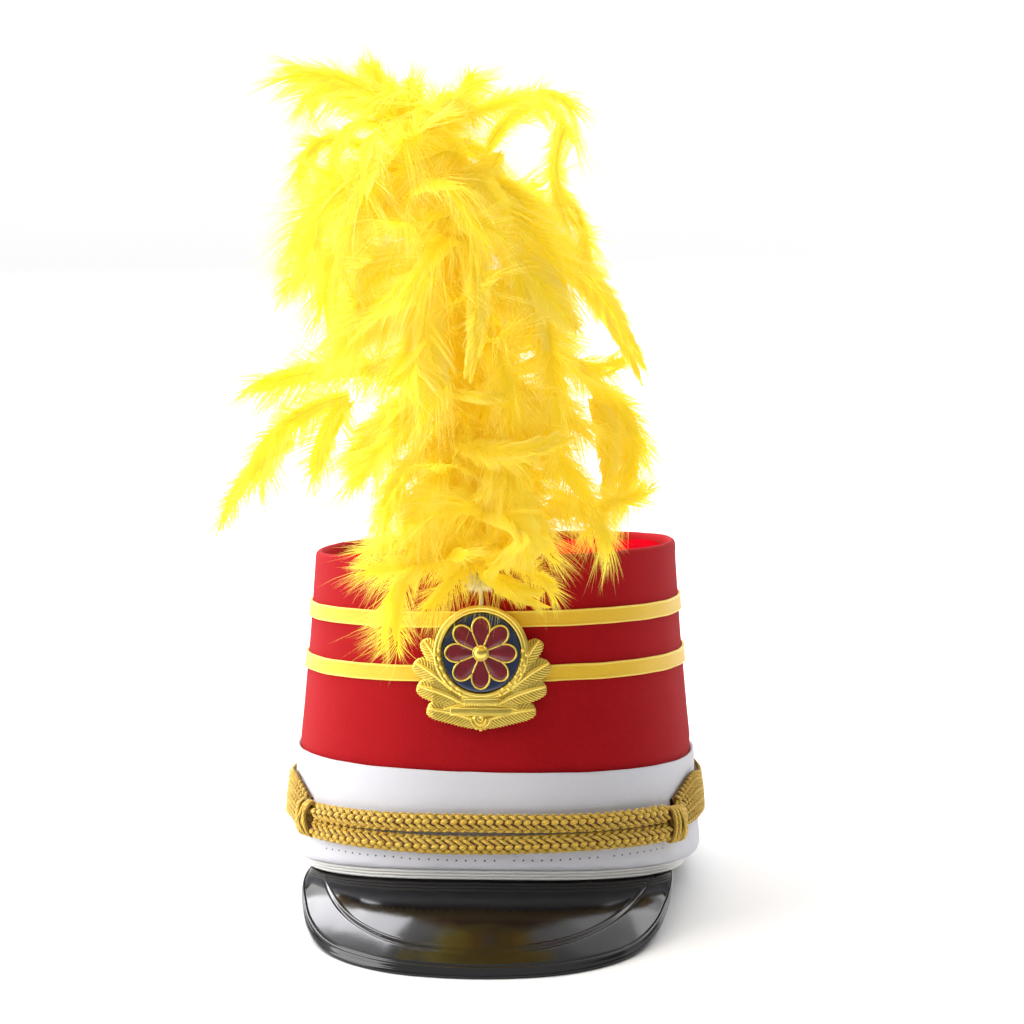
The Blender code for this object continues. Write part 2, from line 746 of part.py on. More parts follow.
def make_badge_wreath(material, hat):
    """Cast wreath, ring and bars in one piece."""
    pieces = []
    for side in (-1, 1):
        for root_turn, root_radius, tip_turn, tip_radius, width in LEAVES:
            root = polar(root_turn, root_radius, side)
            tip = polar(tip_turn, tip_radius, side)
            pieces.append(leaf_body(root, tip, width))
    pieces.append(prism(rectangle_points(BAR[0], BAR[1], BAR_HEIGHT), BAR[2], BAR[3]))
    pieces.append(prism(rectangle_points(BLOCK[0], BLOCK[1], BLOCK_HEIGHT), BLOCK[2], BLOCK[3]))
    cusp = [(x, y + CUSP_HEIGHT) for x, y in circle_points(CUSP_RADIUS, CUSP_SIDES, CUSP_TURN)]
    pieces.append(prism(cusp, CUSP_SPAN[0], CUSP_SPAN[1]))
    body = ring_body()
    place_badge(body)
    wreath = add_object("badge_wreath", body, material, hat)
    guides = []
    for i, piece in enumerate(pieces):
        place_badge(piece)
        guides.append(add_object("wreath_guide_%02d" % i, piece, material, hat))
    fuse(wreath, guides, "wreath_guides")
    return wreath


def make_badge_field(material, hat):
    low = PLATE_THICK + GAP
    bm = prism(circle_points(RING_INNER - GAP, RING_SEGMENTS), low, low + FIELD_THICK)
    place_badge(bm)
    return add_object("badge_field", bm, material, hat)


def make_badge_rosette(material, hat):
    """Eight round petals round the middle."""
    outline = []
    for petal in range(ROSETTE_PETALS):
        for k in range(PETAL_STEPS):
            share = k / PETAL_STEPS
            swell = math.sin(math.pi * share) ** PETAL_ROUNDNESS
            radius = ROSETTE_NOTCH + (ROSETTE_RADIUS - ROSETTE_NOTCH) * swell
            angle = 2 * math.pi * (petal + share) / ROSETTE_PETALS + math.pi / ROSETTE_PETALS
            outline.append((radius * math.cos(angle), radius * math.sin(angle)))
    low = PLATE_THICK + 2 * GAP + FIELD_THICK
    bm = prism(outline, low, low + ROSETTE_THICK)
    place_badge(bm)
    return add_object("badge_rosette", bm, material, hat)


def make_badge_boss(material, hat):
    low = PLATE_THICK + 3 * GAP + FIELD_THICK + ROSETTE_THICK
    bm = bmesh.new()
    rings = [
        [bm.verts.new((x, y, low + w)) for x, y in circle_points(BOSS_RADIUS * share, BOSS_SIDES)]
        for share, w in BOSS_ROWS
    ]
    for here, there in zip(rings, rings[1:]):
        for i in range(BOSS_SIDES):
            j = (i + 1) % BOSS_SIDES
            bm.faces.new((here[i], here[j], there[j], there[i]))
    bm.faces.new(rings[0])
    bm.faces.new(rings[-1])
    place_badge(bm)
    return add_object("badge_boss", bm, material, hat)


def make_plume_stem(material, hat):
    """Wire from the badge's top up into the feathers."""
    foot = badge_matrix() @ Vector((0, RING_OUTER + GAP, STEM_OUT - BADGE_STANDOFF))
    head = Vector((0, -PLUME_OUT, STEM_TOP))
    sections = []
    for i in range(STEM_STEPS + 1):
        share = i / STEM_STEPS
        middle = foot.lerp(head, share)
        middle.y += STEM_BOW * math.sin(math.pi * share) * (1 - share)
        points = circle_points(STEM_RADIUS, STEM_SIDES)
        sections.append([middle + Vector((x, y, 0)) for x, y in points])
    return add_object("plume_stem", sweep_sections(sections), material, hat)


def make_plume_base(material, hat):
    """White fluff and binding where the feathers are tied to the wire."""
    bm = bmesh.new()
    bmesh.ops.create_uvsphere(bm, u_segments=12, v_segments=8, radius=1.0)
    middle = Vector((0, -PLUME_OUT, STEM_TOP + GAP + BINDING_KNOB.z))
    for vert in bm.verts:
        x, y, z = vert.co
        vert.co = middle + Vector((x * BINDING_KNOB.x, y * BINDING_KNOB.y, z * BINDING_KNOB.z))
    return add_object("plume_base", bm, material, hat)


def bend_point(root, middle, tip, share):
    """Point on the smooth bend from root to tip whose half-way point is the middle."""
    control = 2 * middle - (root + tip) / 2
    return root.lerp(control, share).lerp(control.lerp(tip, share), share)


def lock_body(root, middle, tip, width):
    """One lock of feathers: a round tapering body along a bend."""
    side = (middle - root).cross(tip - middle).normalized()
    sections = []
    for share, wide in LOCK_SHAPE:
        here = bend_point(root, middle, tip, share)
        ahead = bend_point(root, middle, tip, share + 0.05)
        across = side.cross(ahead - here).normalized()
        section = []
        for x, y in circle_points(wide * width / 2, LOCK_SIDES):
            section.append(here + side * x + across * y)
        sections.append(section)
    bm = sweep_sections(sections)
    bmesh.ops.triangulate(bm, faces=bm.faces)
    bmesh.ops.recalc_face_normals(bm, faces=bm.faces)
    return bm


def around_locks():
    """Locks in rows round the core: root, middle, tip and width of each."""
    for height, locks, start, reach, rise, droop, width in AROUND_ROWS:
        x, y = (smooth_rows(CORE_ROWS, height, column) for column in (1, 2))
        for i in range(locks):
            angle = math.radians(start + 360 * i / locks)
            outward = Vector((math.cos(angle), AROUND_DEPTH * math.sin(angle), 0))
            root = Vector((x, y, height)) + outward * AROUND_ROOT
            middle = root + outward * (AROUND_MIDDLE * (reach - AROUND_ROOT)) + Vector((0, 0, rise))
            tip = Vector((x, y, height)) + outward * reach + Vector((0, 0, rise - droop))
            yield root, middle, tip, width


def make_plume(material, hat):
    """Core of the plume, with the big feathers and the locks between them fused to it."""
    sections = []
    for height, x, y, half_width, half_depth in CORE_ROWS:
        points = circle_points(1.0, CORE_SIDES, height * CORE_TURN)
        sections.append([(x + u * half_width, y + v * half_depth, height) for u, v in points])
    core = sweep_sections([[Vector(p) for p in section] for section in sections])
    bmesh.ops.triangulate(core, faces=core.faces)
    plume = add_object("plume", core, material, hat)
    locks = [
        (Vector(row[0:3]), Vector(row[3:6]), Vector(row[6:9]), row[9]) for row in FEATHER_ARMS
    ]
    locks += list(around_locks())
    guides = [
        add_object("plume_guide_%02d" % i, lock_body(*lock), material, hat)
        for i, lock in enumerate(locks)
    ]
    fuse(plume, guides, "plume_guides")
    return plume


def stand_on_floor(hat, lean):
    """Lean the hat back and put the origin under the middle of its box."""
    hat.rotation_euler.x = -lean
    bpy.context.view_layer.update()
    depsgraph = bpy.context.evaluated_depsgraph_get()
    points = []
    for obj in bpy.data.objects:
        if obj.type == "MESH" and not obj.hide_render:
            evaluated = obj.evaluated_get(depsgraph)
            points += [evaluated.matrix_world @ vert.co for vert in evaluated.data.vertices]
    low = [min(point[i] for point in points) for i in range(3)]
    high = [max(point[i] for point in points) for i in range(3)]
    hat.location = (-(low[0] + high[0]) / 2, -(low[1] + high[1]) / 2, -low[2])
    bpy.context.view_layer.update()


def main():
    for obj in list(bpy.data.objects):
        bpy.data.objects.remove(obj)

    red = new_material("red_twill", (0.55, 0.02, 0.04), 0.85)
    satin = new_material("red_satin", (0.65, 0.02, 0.05), 0.4)
    yellow = new_material("yellow_satin", (0.9, 0.65, 0.12), 0.5)
    white = new_material("white_cloth", (0.8, 0.8, 0.84), 0.85)
    vinyl = new_material("white_vinyl", (0.8, 0.8, 0.82), 0.45)
    black = new_material("black_plastic", (0.008, 0.008, 0.01), 0.12)
    gold_cord = new_material("gold_cord", (0.75, 0.45, 0.08), 0.45)
    gold = new_material("gold_metal", (0.83, 0.6, 0.2), 0.3, 1.0)
    blue = new_material("blue_enamel", (0.01, 0.03, 0.12), 0.15)
    red_enamel = new_material("red_enamel", (0.4, 0.01, 0.03), 0.15)
    wire = new_material("stem_wire", (0.8, 0.75, 0.6), 0.4, 0.5)
    fluff = new_material("white_fluff", (0.85, 0.82, 0.7), 0.9)
    feather = new_material("yellow_feather", (0.95, 0.72, 0.02), 0.8)

    hat = bpy.data.objects.new("hat", None)
    bpy.context.collection.objects.link(hat)

    # The floor touches the peak's front edge and the back of the rim.
    front = visor_edge(0.0) - Vector((0, 0, VISOR_THICK))
    back = oval(math.pi, BINDING_STEPS[-1][1], rim_height(math.pi))
    floor_slope = (back.z - front.z) / (back.y - front.y)

    def floor_height(y):
        return front.z + floor_slope * (y - front.y)

    make_crown(red, hat)
    make_crown_top(satin, hat)
    for name, bottom, top, side_slope in RIBBONS:
        make_ribbon(name, bottom, top, side_slope, yellow, hat)
    make_white_band(white, hat)
    make_rim_binding(floor_height, vinyl, hat)
    make_visor(black, hat)
    make_front_cord("braid_front_upper", CORD_UPPER_HEIGHT, -KNOT_PULL, gold_cord, hat)
    make_front_cord("braid_front_lower", CORD_LOWER_HEIGHT, KNOT_PULL, gold_cord, hat)
    for name, _, _ in KNOTS:
        make_knot(name, gold_cord, hat)
    make_flat_plait(gold_cord, hat)
    make_badge_wreath(gold, hat)
    make_badge_field(blue, hat)
    make_badge_rosette(red_enamel, hat)
    make_badge_boss(gold, hat)
    make_plume_stem(wire, hat)
    make_plume_base(fluff, hat)
    make_plume(feather, hat)
    stand_on_floor(hat, math.atan(floor_slope))


main()
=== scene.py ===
# %% [markdown]
# # A marching band hat
#
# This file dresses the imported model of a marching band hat: a tall cloth crown with a glossy peak,
# plaited gold cords, a cast badge and a feather plume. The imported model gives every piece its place
# and size. The cells below build each visible piece again with the detail that the real one shows,
# and give it a material made of nodes.
#
# The hat is described upright, in millimetres, with its front towards -Y and z = 0 at the mean height
# of its lower edge. One matrix then leans it back on the table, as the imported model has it.

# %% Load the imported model
import math

import bpy
import numpy as np
from mathutils import Matrix, Vector, noise


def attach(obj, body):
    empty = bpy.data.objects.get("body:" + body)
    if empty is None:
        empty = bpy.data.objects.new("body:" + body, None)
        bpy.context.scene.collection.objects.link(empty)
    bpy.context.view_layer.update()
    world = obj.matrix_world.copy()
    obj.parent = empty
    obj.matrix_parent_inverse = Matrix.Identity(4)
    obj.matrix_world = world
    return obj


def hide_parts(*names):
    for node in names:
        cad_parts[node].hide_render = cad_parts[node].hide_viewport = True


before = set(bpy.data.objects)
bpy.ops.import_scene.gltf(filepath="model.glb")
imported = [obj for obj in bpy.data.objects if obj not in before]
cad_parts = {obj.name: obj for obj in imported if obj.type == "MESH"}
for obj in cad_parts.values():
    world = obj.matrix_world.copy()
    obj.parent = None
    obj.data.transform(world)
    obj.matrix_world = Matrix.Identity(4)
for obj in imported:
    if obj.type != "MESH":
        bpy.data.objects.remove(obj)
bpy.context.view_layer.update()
print("packed nodes:", len(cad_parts))

# %% [markdown]
# ## From the hat's own axes to the table
#
# A hat on a table stands on the front of its peak and on the back of its rim, so it leans back by
# about eight degrees. It is far easier to model it upright. Every mesh below is therefore made in
# upright millimetres, and is turned, scaled and moved by one matrix at the very end.

# %% The matrix that leans the hat back
MM = 0.001
HAT_LEAN = 0.13916  # radians
HAT_PLACE = (5.698, 18.816, 10.211)  # mm
FULL_TURN = 2 * math.pi
UP = np.array((0.0, 0.0, 1.0))
lean_matrix = Matrix.Rotation(-HAT_LEAN, 4, "X")
hat_matrix = Matrix.Translation(Vector(HAT_PLACE) * MM) @ lean_matrix @ Matrix.Scale(MM, 4)
hat_array = np.array(hat_matrix)
print("the hat leans back by %.1f degrees" % math.degrees(HAT_LEAN))

# %% [markdown]
# ## Camera, floor and soft light
#
# The picture was taken from a little over a metre away, slightly from the hat's left and a bit above
# the middle of the crown. The camera is placed in the hat's own axes too, and then leans back with
# them. The light is that of a small studio: a wide soft box at the left, a weaker one at the right,
# a panel behind the hat whose light comes through the feathers, two strips that draw pale streaks on
# the glossy peak, a very large box over the far floor that keeps it pale, and a white room all
# round. Wide boxes give the soft shadows that cloth needs.

# %% Camera
CAMERA_AZIMUTH = math.radians(4.0)  # from the hat's front towards +X
CAMERA_DISTANCE = 1300.0  # mm from the hat's axis
CAMERA_HEIGHT = 231.0
CAMERA_YAW = math.radians(0.32)
CAMERA_PITCH = math.radians(3.215)
CAMERA_LENS = 98.26  # mm, for the sensor's width below
CAMERA_SENSOR = 36.0  # mm
CAMERA_SIGHT = 200.0  # m, further than the floor goes


def add_object(name, data):
    """An object in the scene that shows a mesh, a light or a camera."""
    thing = bpy.data.objects.new(name, data)
    bpy.context.collection.objects.link(thing)
    return thing


camera_data = bpy.data.cameras.new("camera")
camera_data.lens = CAMERA_LENS
camera_data.sensor_width = CAMERA_SENSOR
camera_data.clip_end = CAMERA_SIGHT
camera = add_object("camera", camera_data)
camera_x = CAMERA_DISTANCE * math.sin(CAMERA_AZIMUTH)
camera_y = -CAMERA_DISTANCE * math.cos(CAMERA_AZIMUTH)
camera_turn = lean_matrix @ Matrix.Rotation(CAMERA_AZIMUTH - CAMERA_YAW, 4, "Z")
camera_turn = camera_turn @ Matrix.Rotation(math.pi / 2 - CAMERA_PITCH, 4, "X")
camera_place = hat_matrix @ Vector((camera_x, camera_y, CAMERA_HEIGHT))
camera.matrix_world = Matrix.Translation(camera_place) @ camera_turn
bpy.context.scene.camera = camera
print("the camera is %.2f m above the floor" % camera.matrix_world.translation.z)

# %% Floor, room and soft boxes
FLOOR_HALF = 60.0  # m
ROOM_LIGHT = 0.235
SKY_LIGHT = 1.15  # W/m2, from straight above and very soft
SKY_WIDTH = math.radians(110.0)
PAPER_COLOR = (0.92, 0.92, 0.92, 1.0)
PAPER_ROUGHNESS = 0.8
SOFT_BOXES = [
    # name, place, width, height, watts, color
    ("left_box", (-1.15, -0.2, 0.7), 0.9, 1.3, 20.5, (1.0, 0.99, 0.98)),
    ("right_box", (1.0, 0.85, 0.6), 0.4, 1.1, 4.0, (1.0, 0.99, 0.98)),
    ("back_box", (-0.2, 1.9, 1.3), 2.3, 1.6, 24.0, (1.0, 1.0, 1.0)),
    ("left_strip", (-0.98, 1.0, 1.15), 0.38, 1.5, 17.0, (0.96, 0.95, 1.0)),
    ("right_strip", (0.86, 1.15, 1.25), 0.22, 1.4, 1.0, (0.96, 0.95, 1.0)),
    ("floor_box", (0.0, 24.0, 6.0), 60.0, 44.0, 6600.0, (1.0, 1.0, 1.0)),
]
LIGHT_AIM = Vector((0.0, 0.0, 0.17))

floor_mesh = bpy.data.meshes.new("floor")
floor_corners = [(x * FLOOR_HALF, y * FLOOR_HALF, 0) for x, y in ((-1, -1), (1, -1), (1, 1), (-1, 1))]
floor_mesh.from_pydata(floor_corners, [], [(0, 1, 2, 3)])
floor = add_object("floor", floor_mesh)
floor_paper = bpy.data.materials.new("floor_paper")
floor_paper.use_nodes = True
paper_inputs = floor_paper.node_tree.nodes["Principled BSDF"].inputs
paper_inputs["Base Color"].default_value = PAPER_COLOR
paper_inputs["Roughness"].default_value = PAPER_ROUGHNESS
floor_mesh.materials.append(floor_paper)

world = bpy.data.worlds.new("room")
world.use_nodes = True
room_inputs = world.node_tree.nodes["Background"].inputs
room_inputs["Color"].default_value = (1.0, 1.0, 1.0, 1.0)
room_inputs["Strength"].default_value = ROOM_LIGHT
bpy.context.scene.world = world
bpy.context.scene.view_settings.view_transform = "Standard"

for name, place, width, height, watts, color in SOFT_BOXES:
    light_data = bpy.data.lights.new(name, "AREA")
    light_data.shape = "RECTANGLE"
    light_data.size, light_data.size_y = width, height
    light_data.energy = watts
    light_data.color = color
    light = add_object(name, light_data)
    light.location = place
    light.visible_camera = False
    if name != "floor_box":
        light.rotation_euler = (LIGHT_AIM - Vector(place)).to_track_quat("-Z", "Y").to_euler()
sky_data = bpy.data.lights.new("sky_light", "SUN")
sky_data.energy = SKY_LIGHT
sky_data.angle = SKY_WIDTH
add_object("sky_light", sky_data)
print("soft boxes:", len(SOFT_BOXES))

# %% [markdown]
# ## Meshes from arrays
#
# Cloth, cords and feathers have many thousands of faces. Adding them one by one in Python would be
# slow, so the points are worked out as NumPy arrays and handed to Blender in one go. Numbers that a
# material needs, such as how far round the hat a point lies, are stored on the points as attributes.
# A part is always the same three things: its points, its faces and those numbers.

# %% Helpers that turn arrays into pieces


def join_parts(parts):
    """Join (points, faces, values) parts into one."""
    points, faces, values, start = [], [], {}, 0
    for part_points, part_faces, part_values in parts:
        points.append(part_points)
        faces.append(part_faces + start)
        start += len(part_points)
        for key, numbers in part_values.items():
            values.setdefault(key, []).append(numbers)
    return np.concatenate(points), np.concatenate(faces), {k: np.concatenate(v) for k, v in values.items()}


def flip(part):
    """The same part with its faces turned over."""
    points, faces, values = part
    return points, faces[:, ::-1], values


def add_piece(name, slot, replaces, *coats):
    """A mesh object from coats, each a part in hat millimetres and the paint that it has."""
    points, faces, values = join_parts([part for part, _ in coats])
    places = points @ hat_array[:3, :3].T + hat_array[:3, 3]
    mesh = bpy.data.meshes.new(name)
    mesh.vertices.add(len(places))
    mesh.vertices.foreach_set("co", places.astype(np.float32).ravel())
    mesh.loops.add(faces.size)
    mesh.loops.foreach_set("vertex_index", faces.astype(np.int32).ravel())
    mesh.polygons.add(len(faces))
    mesh.polygons.foreach_set("loop_start", np.arange(0, faces.size, faces.shape[1], dtype=np.int32))
    mesh.update(calc_edges=True)
    for key, numbers in values.items():
        kind = "FLOAT" if numbers.ndim == 1 else "FLOAT_VECTOR"
        layer = mesh.attributes.new(key, kind, "POINT")
        layer.data.foreach_set("value" if kind == "FLOAT" else "vector", numbers.astype(np.float32).ravel())
    for _, paint in coats:
        mesh.materials.append(paint.material)
    coat_of_face = np.repeat(np.arange(len(coats), dtype=np.int32), [len(part[1]) for part, _ in coats])
    mesh.polygons.foreach_set("material_index", coat_of_face)
    mesh.shade_smooth()
    piece = add_object(name, mesh)
    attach(piece, "root")
    if replaces:
        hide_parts(*replaces)
    print("%s: %d triangles" % (name, len(faces) * (faces.shape[1] - 2)))


def grid_quads(rows, columns, close_rows=False, close_columns=False):
    """Quads of a grid of points that is stored row after row."""
    last_row = rows if close_rows else rows - 1
    last_column = columns if close_columns else columns - 1
    i, j = np.meshgrid(np.arange(last_row), np.arange(last_column), indexing="ij")
    down, right = (i + 1) % rows, (j + 1) % columns
    corners = (i * columns + j, i * columns + right, down * columns + right, down * columns + j)
    return np.stack(corners, axis=-1).reshape(-1, 4)


def split_quads(quads):
    """Two triangles from each quad."""
    return np.concatenate([quads[:, [0, 1, 2]], quads[:, [0, 2, 3]]])


def round_angles(steps):
    """Angles all the way round, in even steps."""
    return np.linspace(0.0, FULL_TURN, steps, endpoint=False)


def share_of(values):
    """The values, kept between 0 and 1."""
    return np.clip(values, 0.0, 1.0)


def hill(distance, width, power=2):
    """A smooth hill, 1 high where the distance is 0."""
    return np.exp(-((distance / width) ** power))


# %% [markdown]
# ## Shader maths as Python expressions
#
# A node material is a chain of sums. Written as `1 - mask * 0.3` it can be read at a glance, while
# twenty lines of node and link calls can't. The class below wraps one output socket, and every
# operator on it adds the Math node that does the same.

# %% A wrapped socket and a paint box


class Wire:
    """One output socket of a node tree, with arithmetic."""

    def __init__(self, paint, socket):
        self.paint = paint
        self.socket = socket

    def math(self, operation, *others, swap=False):
        values = (*others, self) if swap else (self, *others)
        return self.paint.node("ShaderNodeMath", {"operation": operation}, dict(enumerate(values)))

    def __add__(self, other):
        return self.math("ADD", other)

    __radd__ = __add__

    def __sub__(self, other):
        return self.math("SUBTRACT", other)

    def __rsub__(self, other):
        return self.math("SUBTRACT", other, swap=True)

    def __mul__(self, other):
        return self.math("MULTIPLY", other)

    __rmul__ = __mul__

    def __truediv__(self, other):
        return self.math("DIVIDE", other)

    def __pow__(self, other):
        return self.math("POWER", other)

    def __gt__(self, other):
        return self.math("GREATER_THAN", other)

    def __lt__(self, other):
        return self.math("LESS_THAN", other)

    def wave(self):
        return self.math("SINE")

    def raised(self):
        """Half of it plus a half, which brings a wave between 0 and 1."""
        return self * 0.5 + 0.5

    def fraction(self):
        return self.math("FRACT")

    def size(self):
        return self.math("ABSOLUTE")


class Paint:
    """A material whose Principled shader is fed by wires."""

    def __init__(self, name, **constants):
        self.material = bpy.data.materials.new(name)
        self.material.use_nodes = True
        self.tree = self.material.node_tree
        self.shader = self.tree.nodes["Principled BSDF"]
        self.output = self.tree.nodes["Material Output"]
        for socket_name, value in constants.items():
            self.shader.inputs[socket_name.replace("_", " ")].default_value = value

    def node(self, kind, settings=None, inputs=None, output=0):
        node = self.tree.nodes.new(kind)
        for key, value in (settings or {}).items():
            setattr(node, key, value)
        for key, value in (inputs or {}).items():
            if isinstance(value, Wire):
                self.tree.links.new(value.socket, node.inputs[key])
            else:
                node.inputs[key].default_value = value
        return Wire(self, node.outputs[output])

    def feed(self, socket_name, wire):
        self.tree.links.new(wire.socket, self.shader.inputs[socket_name])

    def noise(self, scale, detail=2.0, roughness=0.5, where=None):
        """Noise between 0 and 1; scale is in cells per metre."""
        where = where or self.node("ShaderNodeTexCoord", output="Object")
        inputs = {"Vector": where, "Scale": scale, "Detail": detail, "Roughness": roughness}
        return self.node("ShaderNodeTexNoise", inputs=inputs, output="Fac")

    def attribute(self, name, output="Fac"):
        """What the points of a piece carry under a name."""
        return self.node("ShaderNodeAttribute", {"attribute_name": name}, output=output)

    def cloth(self):
        """How far round the hat and how high a point of cloth lies, in millimetres."""
        split = self.node("ShaderNodeSeparateXYZ", inputs={0: self.attribute("cloth", "Vector")})
        outputs = split.socket.node.outputs
        return Wire(self, outputs["X"]), Wire(self, outputs["Y"])

    def mix(self, factor, first, second):
        def color(value):
            return value if isinstance(value, Wire) else (*value, 1.0)

        inputs = {0: factor, 6: color(first), 7: color(second)}
        return self.node("ShaderNodeMix", {"data_type": "RGBA"}, inputs, output=2)

    def bump(self, height, distance, strength=1.0):
        inputs = {"Height": height, "Distance": distance, "Strength": strength}
        self.feed("Normal", self.node("ShaderNodeBump", inputs=inputs, output="Normal"))


# %% [markdown]
# ## The head's oval and the hat's tables
#
# A hat's tube isn't round but oval, a little deeper than wide and squarer than an ellipse: a
# superellipse of power 2.3. One function gives its points, and short tables give the half width at
# each height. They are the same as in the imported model, so the dressed pieces lie on its solids.

# %% The oval and the tables
GAP = 0.35
OVAL_POWER = 2.3
DEPTH_EXTRA = 5.5
CROWN_ROWS = [
    # height, half_width
    (5.0, 87.6),
    (14.0, 89.8),
    (55.0, 90.2),
    (67.0, 88.9),
    (103.0, 85.6),
    (137.0, 83.3),
]
TOP_HEIGHT = 143.4
TOP_SLOPE = 2.4
RIM_SAG = 2.8
BINDING_HEIGHT = 4.5
ROUND_STEPS = 288
CLOTH_RADIUS = 90.0  # mm of cloth for each radian round the hat
RIPPLE_HEIGHT = 30.0  # mm
WALL_RIPPLE = 0.28  # mm


def oval_xy(angle, half_width):
    """Points of the oval, at angles from the front towards +X."""
    half_depth = half_width + DEPTH_EXTRA
    across = np.abs(np.sin(angle)) / half_width
    along = np.abs(np.cos(angle)) / half_depth
    radius = (across**OVAL_POWER + along**OVAL_POWER) ** (-1 / OVAL_POWER)
    return radius * np.sin(angle), -radius * np.cos(angle)


def oval_outward(angle, half_width):
    """Level unit vectors square to the oval."""
    step = 0.01
    x1, y1 = oval_xy(angle + step, half_width)
    x0, y0 = oval_xy(angle - step, half_width)
    length = np.hypot(x1 - x0, y1 - y0)
    return (y1 - y0) / length, -(x1 - x0) / length


def table(rows, key, column=1):
    """Straight-line reading of a table's column."""
    ordered = sorted(rows)
    return np.interp(key, [row[0] for row in ordered], [row[column] for row in ordered])


def crown_half_width(height):
    return table(CROWN_ROWS, height)


def rim_height(angle):
    return RIM_SAG * np.cos(2 * angle)


def ripples(angle, seed, waves, height=0.0):
    """Soft unevenness of cloth, between -1 and 1, the same after a full turn."""
    values = np.zeros(np.broadcast(angle, height).shape)
    rng = np.random.default_rng(seed)
    for wave in waves:
        phase, tilt, strength = rng.uniform(0, 6.28), rng.uniform(-1, 1), rng.uniform(0.5, 1)
        values += strength * np.sin(wave * angle + phase + tilt * height / RIPPLE_HEIGHT)
    return values / len(waves)


def wall_ripple(angle, height):
    """How the crown's cloth, and all that lies on it, moves in and out."""
    return WALL_RIPPLE * ripples(angle, 3, (3, 5, 8, 13, 21), height)


def sweep_round(profile, steps=ROUND_STEPS, closed=False):
    """Carry a profile round the hat. For a column of angles profile(angle) gives (heights, half
    widths) blocks, each with a column for each of its points. The part carries cloth coordinates."""
    angle = round_angles(steps)[:, None]
    blocks = [np.broadcast_arrays(height, width, angle)[:2] for height, width in profile(angle)]
    height, half_width = [np.concatenate(block, axis=1) for block in zip(*blocks)]
    x, y = oval_xy(angle, half_width)
    points = np.stack([x, y, height], axis=-1)
    length = np.abs(np.cumsum(np.hypot(np.diff(height), np.diff(half_width)), axis=1))
    length = np.concatenate([np.zeros((steps, 1)), length], axis=1)
    around = np.where(angle > math.pi, angle - FULL_TURN, angle) * CLOTH_RADIUS
    cloth = np.stack(np.broadcast_arrays(around, height, length), axis=-1).reshape(-1, 3)
    quads = grid_quads(steps, height.shape[1], close_rows=True, close_columns=closed)
    return points.reshape(-1, 3), quads, {"cloth": cloth}


print("half width at mid height: %.1f mm" % crown_half_width(70.0))

# %% [markdown]
# ## Red twill
#
# The crown is covered with a plain red uniform cloth. Twill has fine diagonal ribs, here about
# two thirds of a millimetre apart. Ribs that fine are better as a bump than as geometry: two sine
# waves of the cloth's own coordinates, one along the diagonal and one across it. A noise that varies
# slowly makes the dye a little uneven, as light on pressed cloth is.

# %% Red twill
twill = Paint(
    "red_twill",
    Roughness=0.78,
    Sheen_Weight=0.035,
    Sheen_Roughness=0.5,
    Sheen_Tint=(1.0, 0.3, 0.35, 1.0),
    Specular_IOR_Level=0.1,
)
TWILL_RIBS = 4.7  # radians per mm
around, up = twill.cloth()
ribs = ((around + up) * TWILL_RIBS).wave()
threads = ((around - up) * TWILL_RIBS * 1.6).wave()
fibre = twill.noise(1400.0, 2.0)
dye = twill.noise(28.0, 3.0)
tone = twill.mix(dye, (0.37, 0.0035, 0.007), (0.45, 0.005, 0.01))
rib_shade = ribs.raised() * 0.36 + threads.raised() * 0.14
twill.feed("Base Color", twill.mix(rib_shade, tone, (0.2, 0.002, 0.004)))
twill.bump(ribs * 0.6 + threads * 0.25 + fibre * 1.2, 0.00012, 0.7)

# %% [markdown]
# ## The crown's cloth
#
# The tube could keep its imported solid, but the eye catches two things on the real one: the soft
# rolled fold at the top edge, and cloth that is glued over a stiff core and so never quite smooth.
# The profile below has the roll as a small arc, and very low ripples move the wall in and out by a
# quarter of a millimetre. The cloth's seam is at the back, where a shallow groove runs down. Inside,
# the crown is lined with a stiff open net, buckram.

# %% The crown
ROLL_RADIUS = 2.6
ROLL_RISE = ROLL_RADIUS * 1.15
ROLL_REACH = ROLL_RADIUS * 0.75
LIP_DEPTH = 7.0
WALL_ROWS, ROLL_ROWS, LIP_ROWS, INSIDE_ROWS = 46, 15, 5, 14
WALL = 2.0
INSIDE_TOP = TOP_HEIGHT - 7.6
SEAM_WIDTH = 1.1
SEAM_DEPTH = 0.5
CALM_FROM, CALM_SPAN = 110.0, 20.0  # heights in which the ripples get 40% lower


def crown_profile(angle):
    top = TOP_HEIGHT + TOP_SLOPE * np.sin(angle)
    lower = rim_height(angle) + BINDING_HEIGHT + GAP
    height = lower + (top - 1.3 * ROLL_RADIUS - lower) * np.linspace(0, 1, WALL_ROWS)
    calm = 1 - 0.4 * share_of((height - CALM_FROM) / CALM_SPAN)
    width = crown_half_width(height) + wall_ripple(angle, height) * calm
    width = width - SEAM_DEPTH * hill(np.abs(angle - math.pi) * CLOTH_RADIUS, SEAM_WIDTH)
    turn = np.linspace(0.0, math.pi, ROLL_ROWS)[1:]
    roll_ripple = 0.25 * ripples(angle, 9, (7, 11, 17, 29))
    roll_height = top - ROLL_RISE + ROLL_RISE * np.sin(turn) + roll_ripple * np.sin(turn)
    top_edge = crown_half_width(CROWN_ROWS[-1][0]) - ROLL_REACH
    inner_rows = np.linspace(0.0, 1.0, LIP_ROWS)[1:]
    lip_height = top - ROLL_RISE - (LIP_DEPTH - ROLL_RADIUS) * inner_rows
    return [
        (height, width),
        (roll_height, top_edge + ROLL_REACH * np.cos(turn)),
        (lip_height, top_edge - ROLL_REACH),
    ]


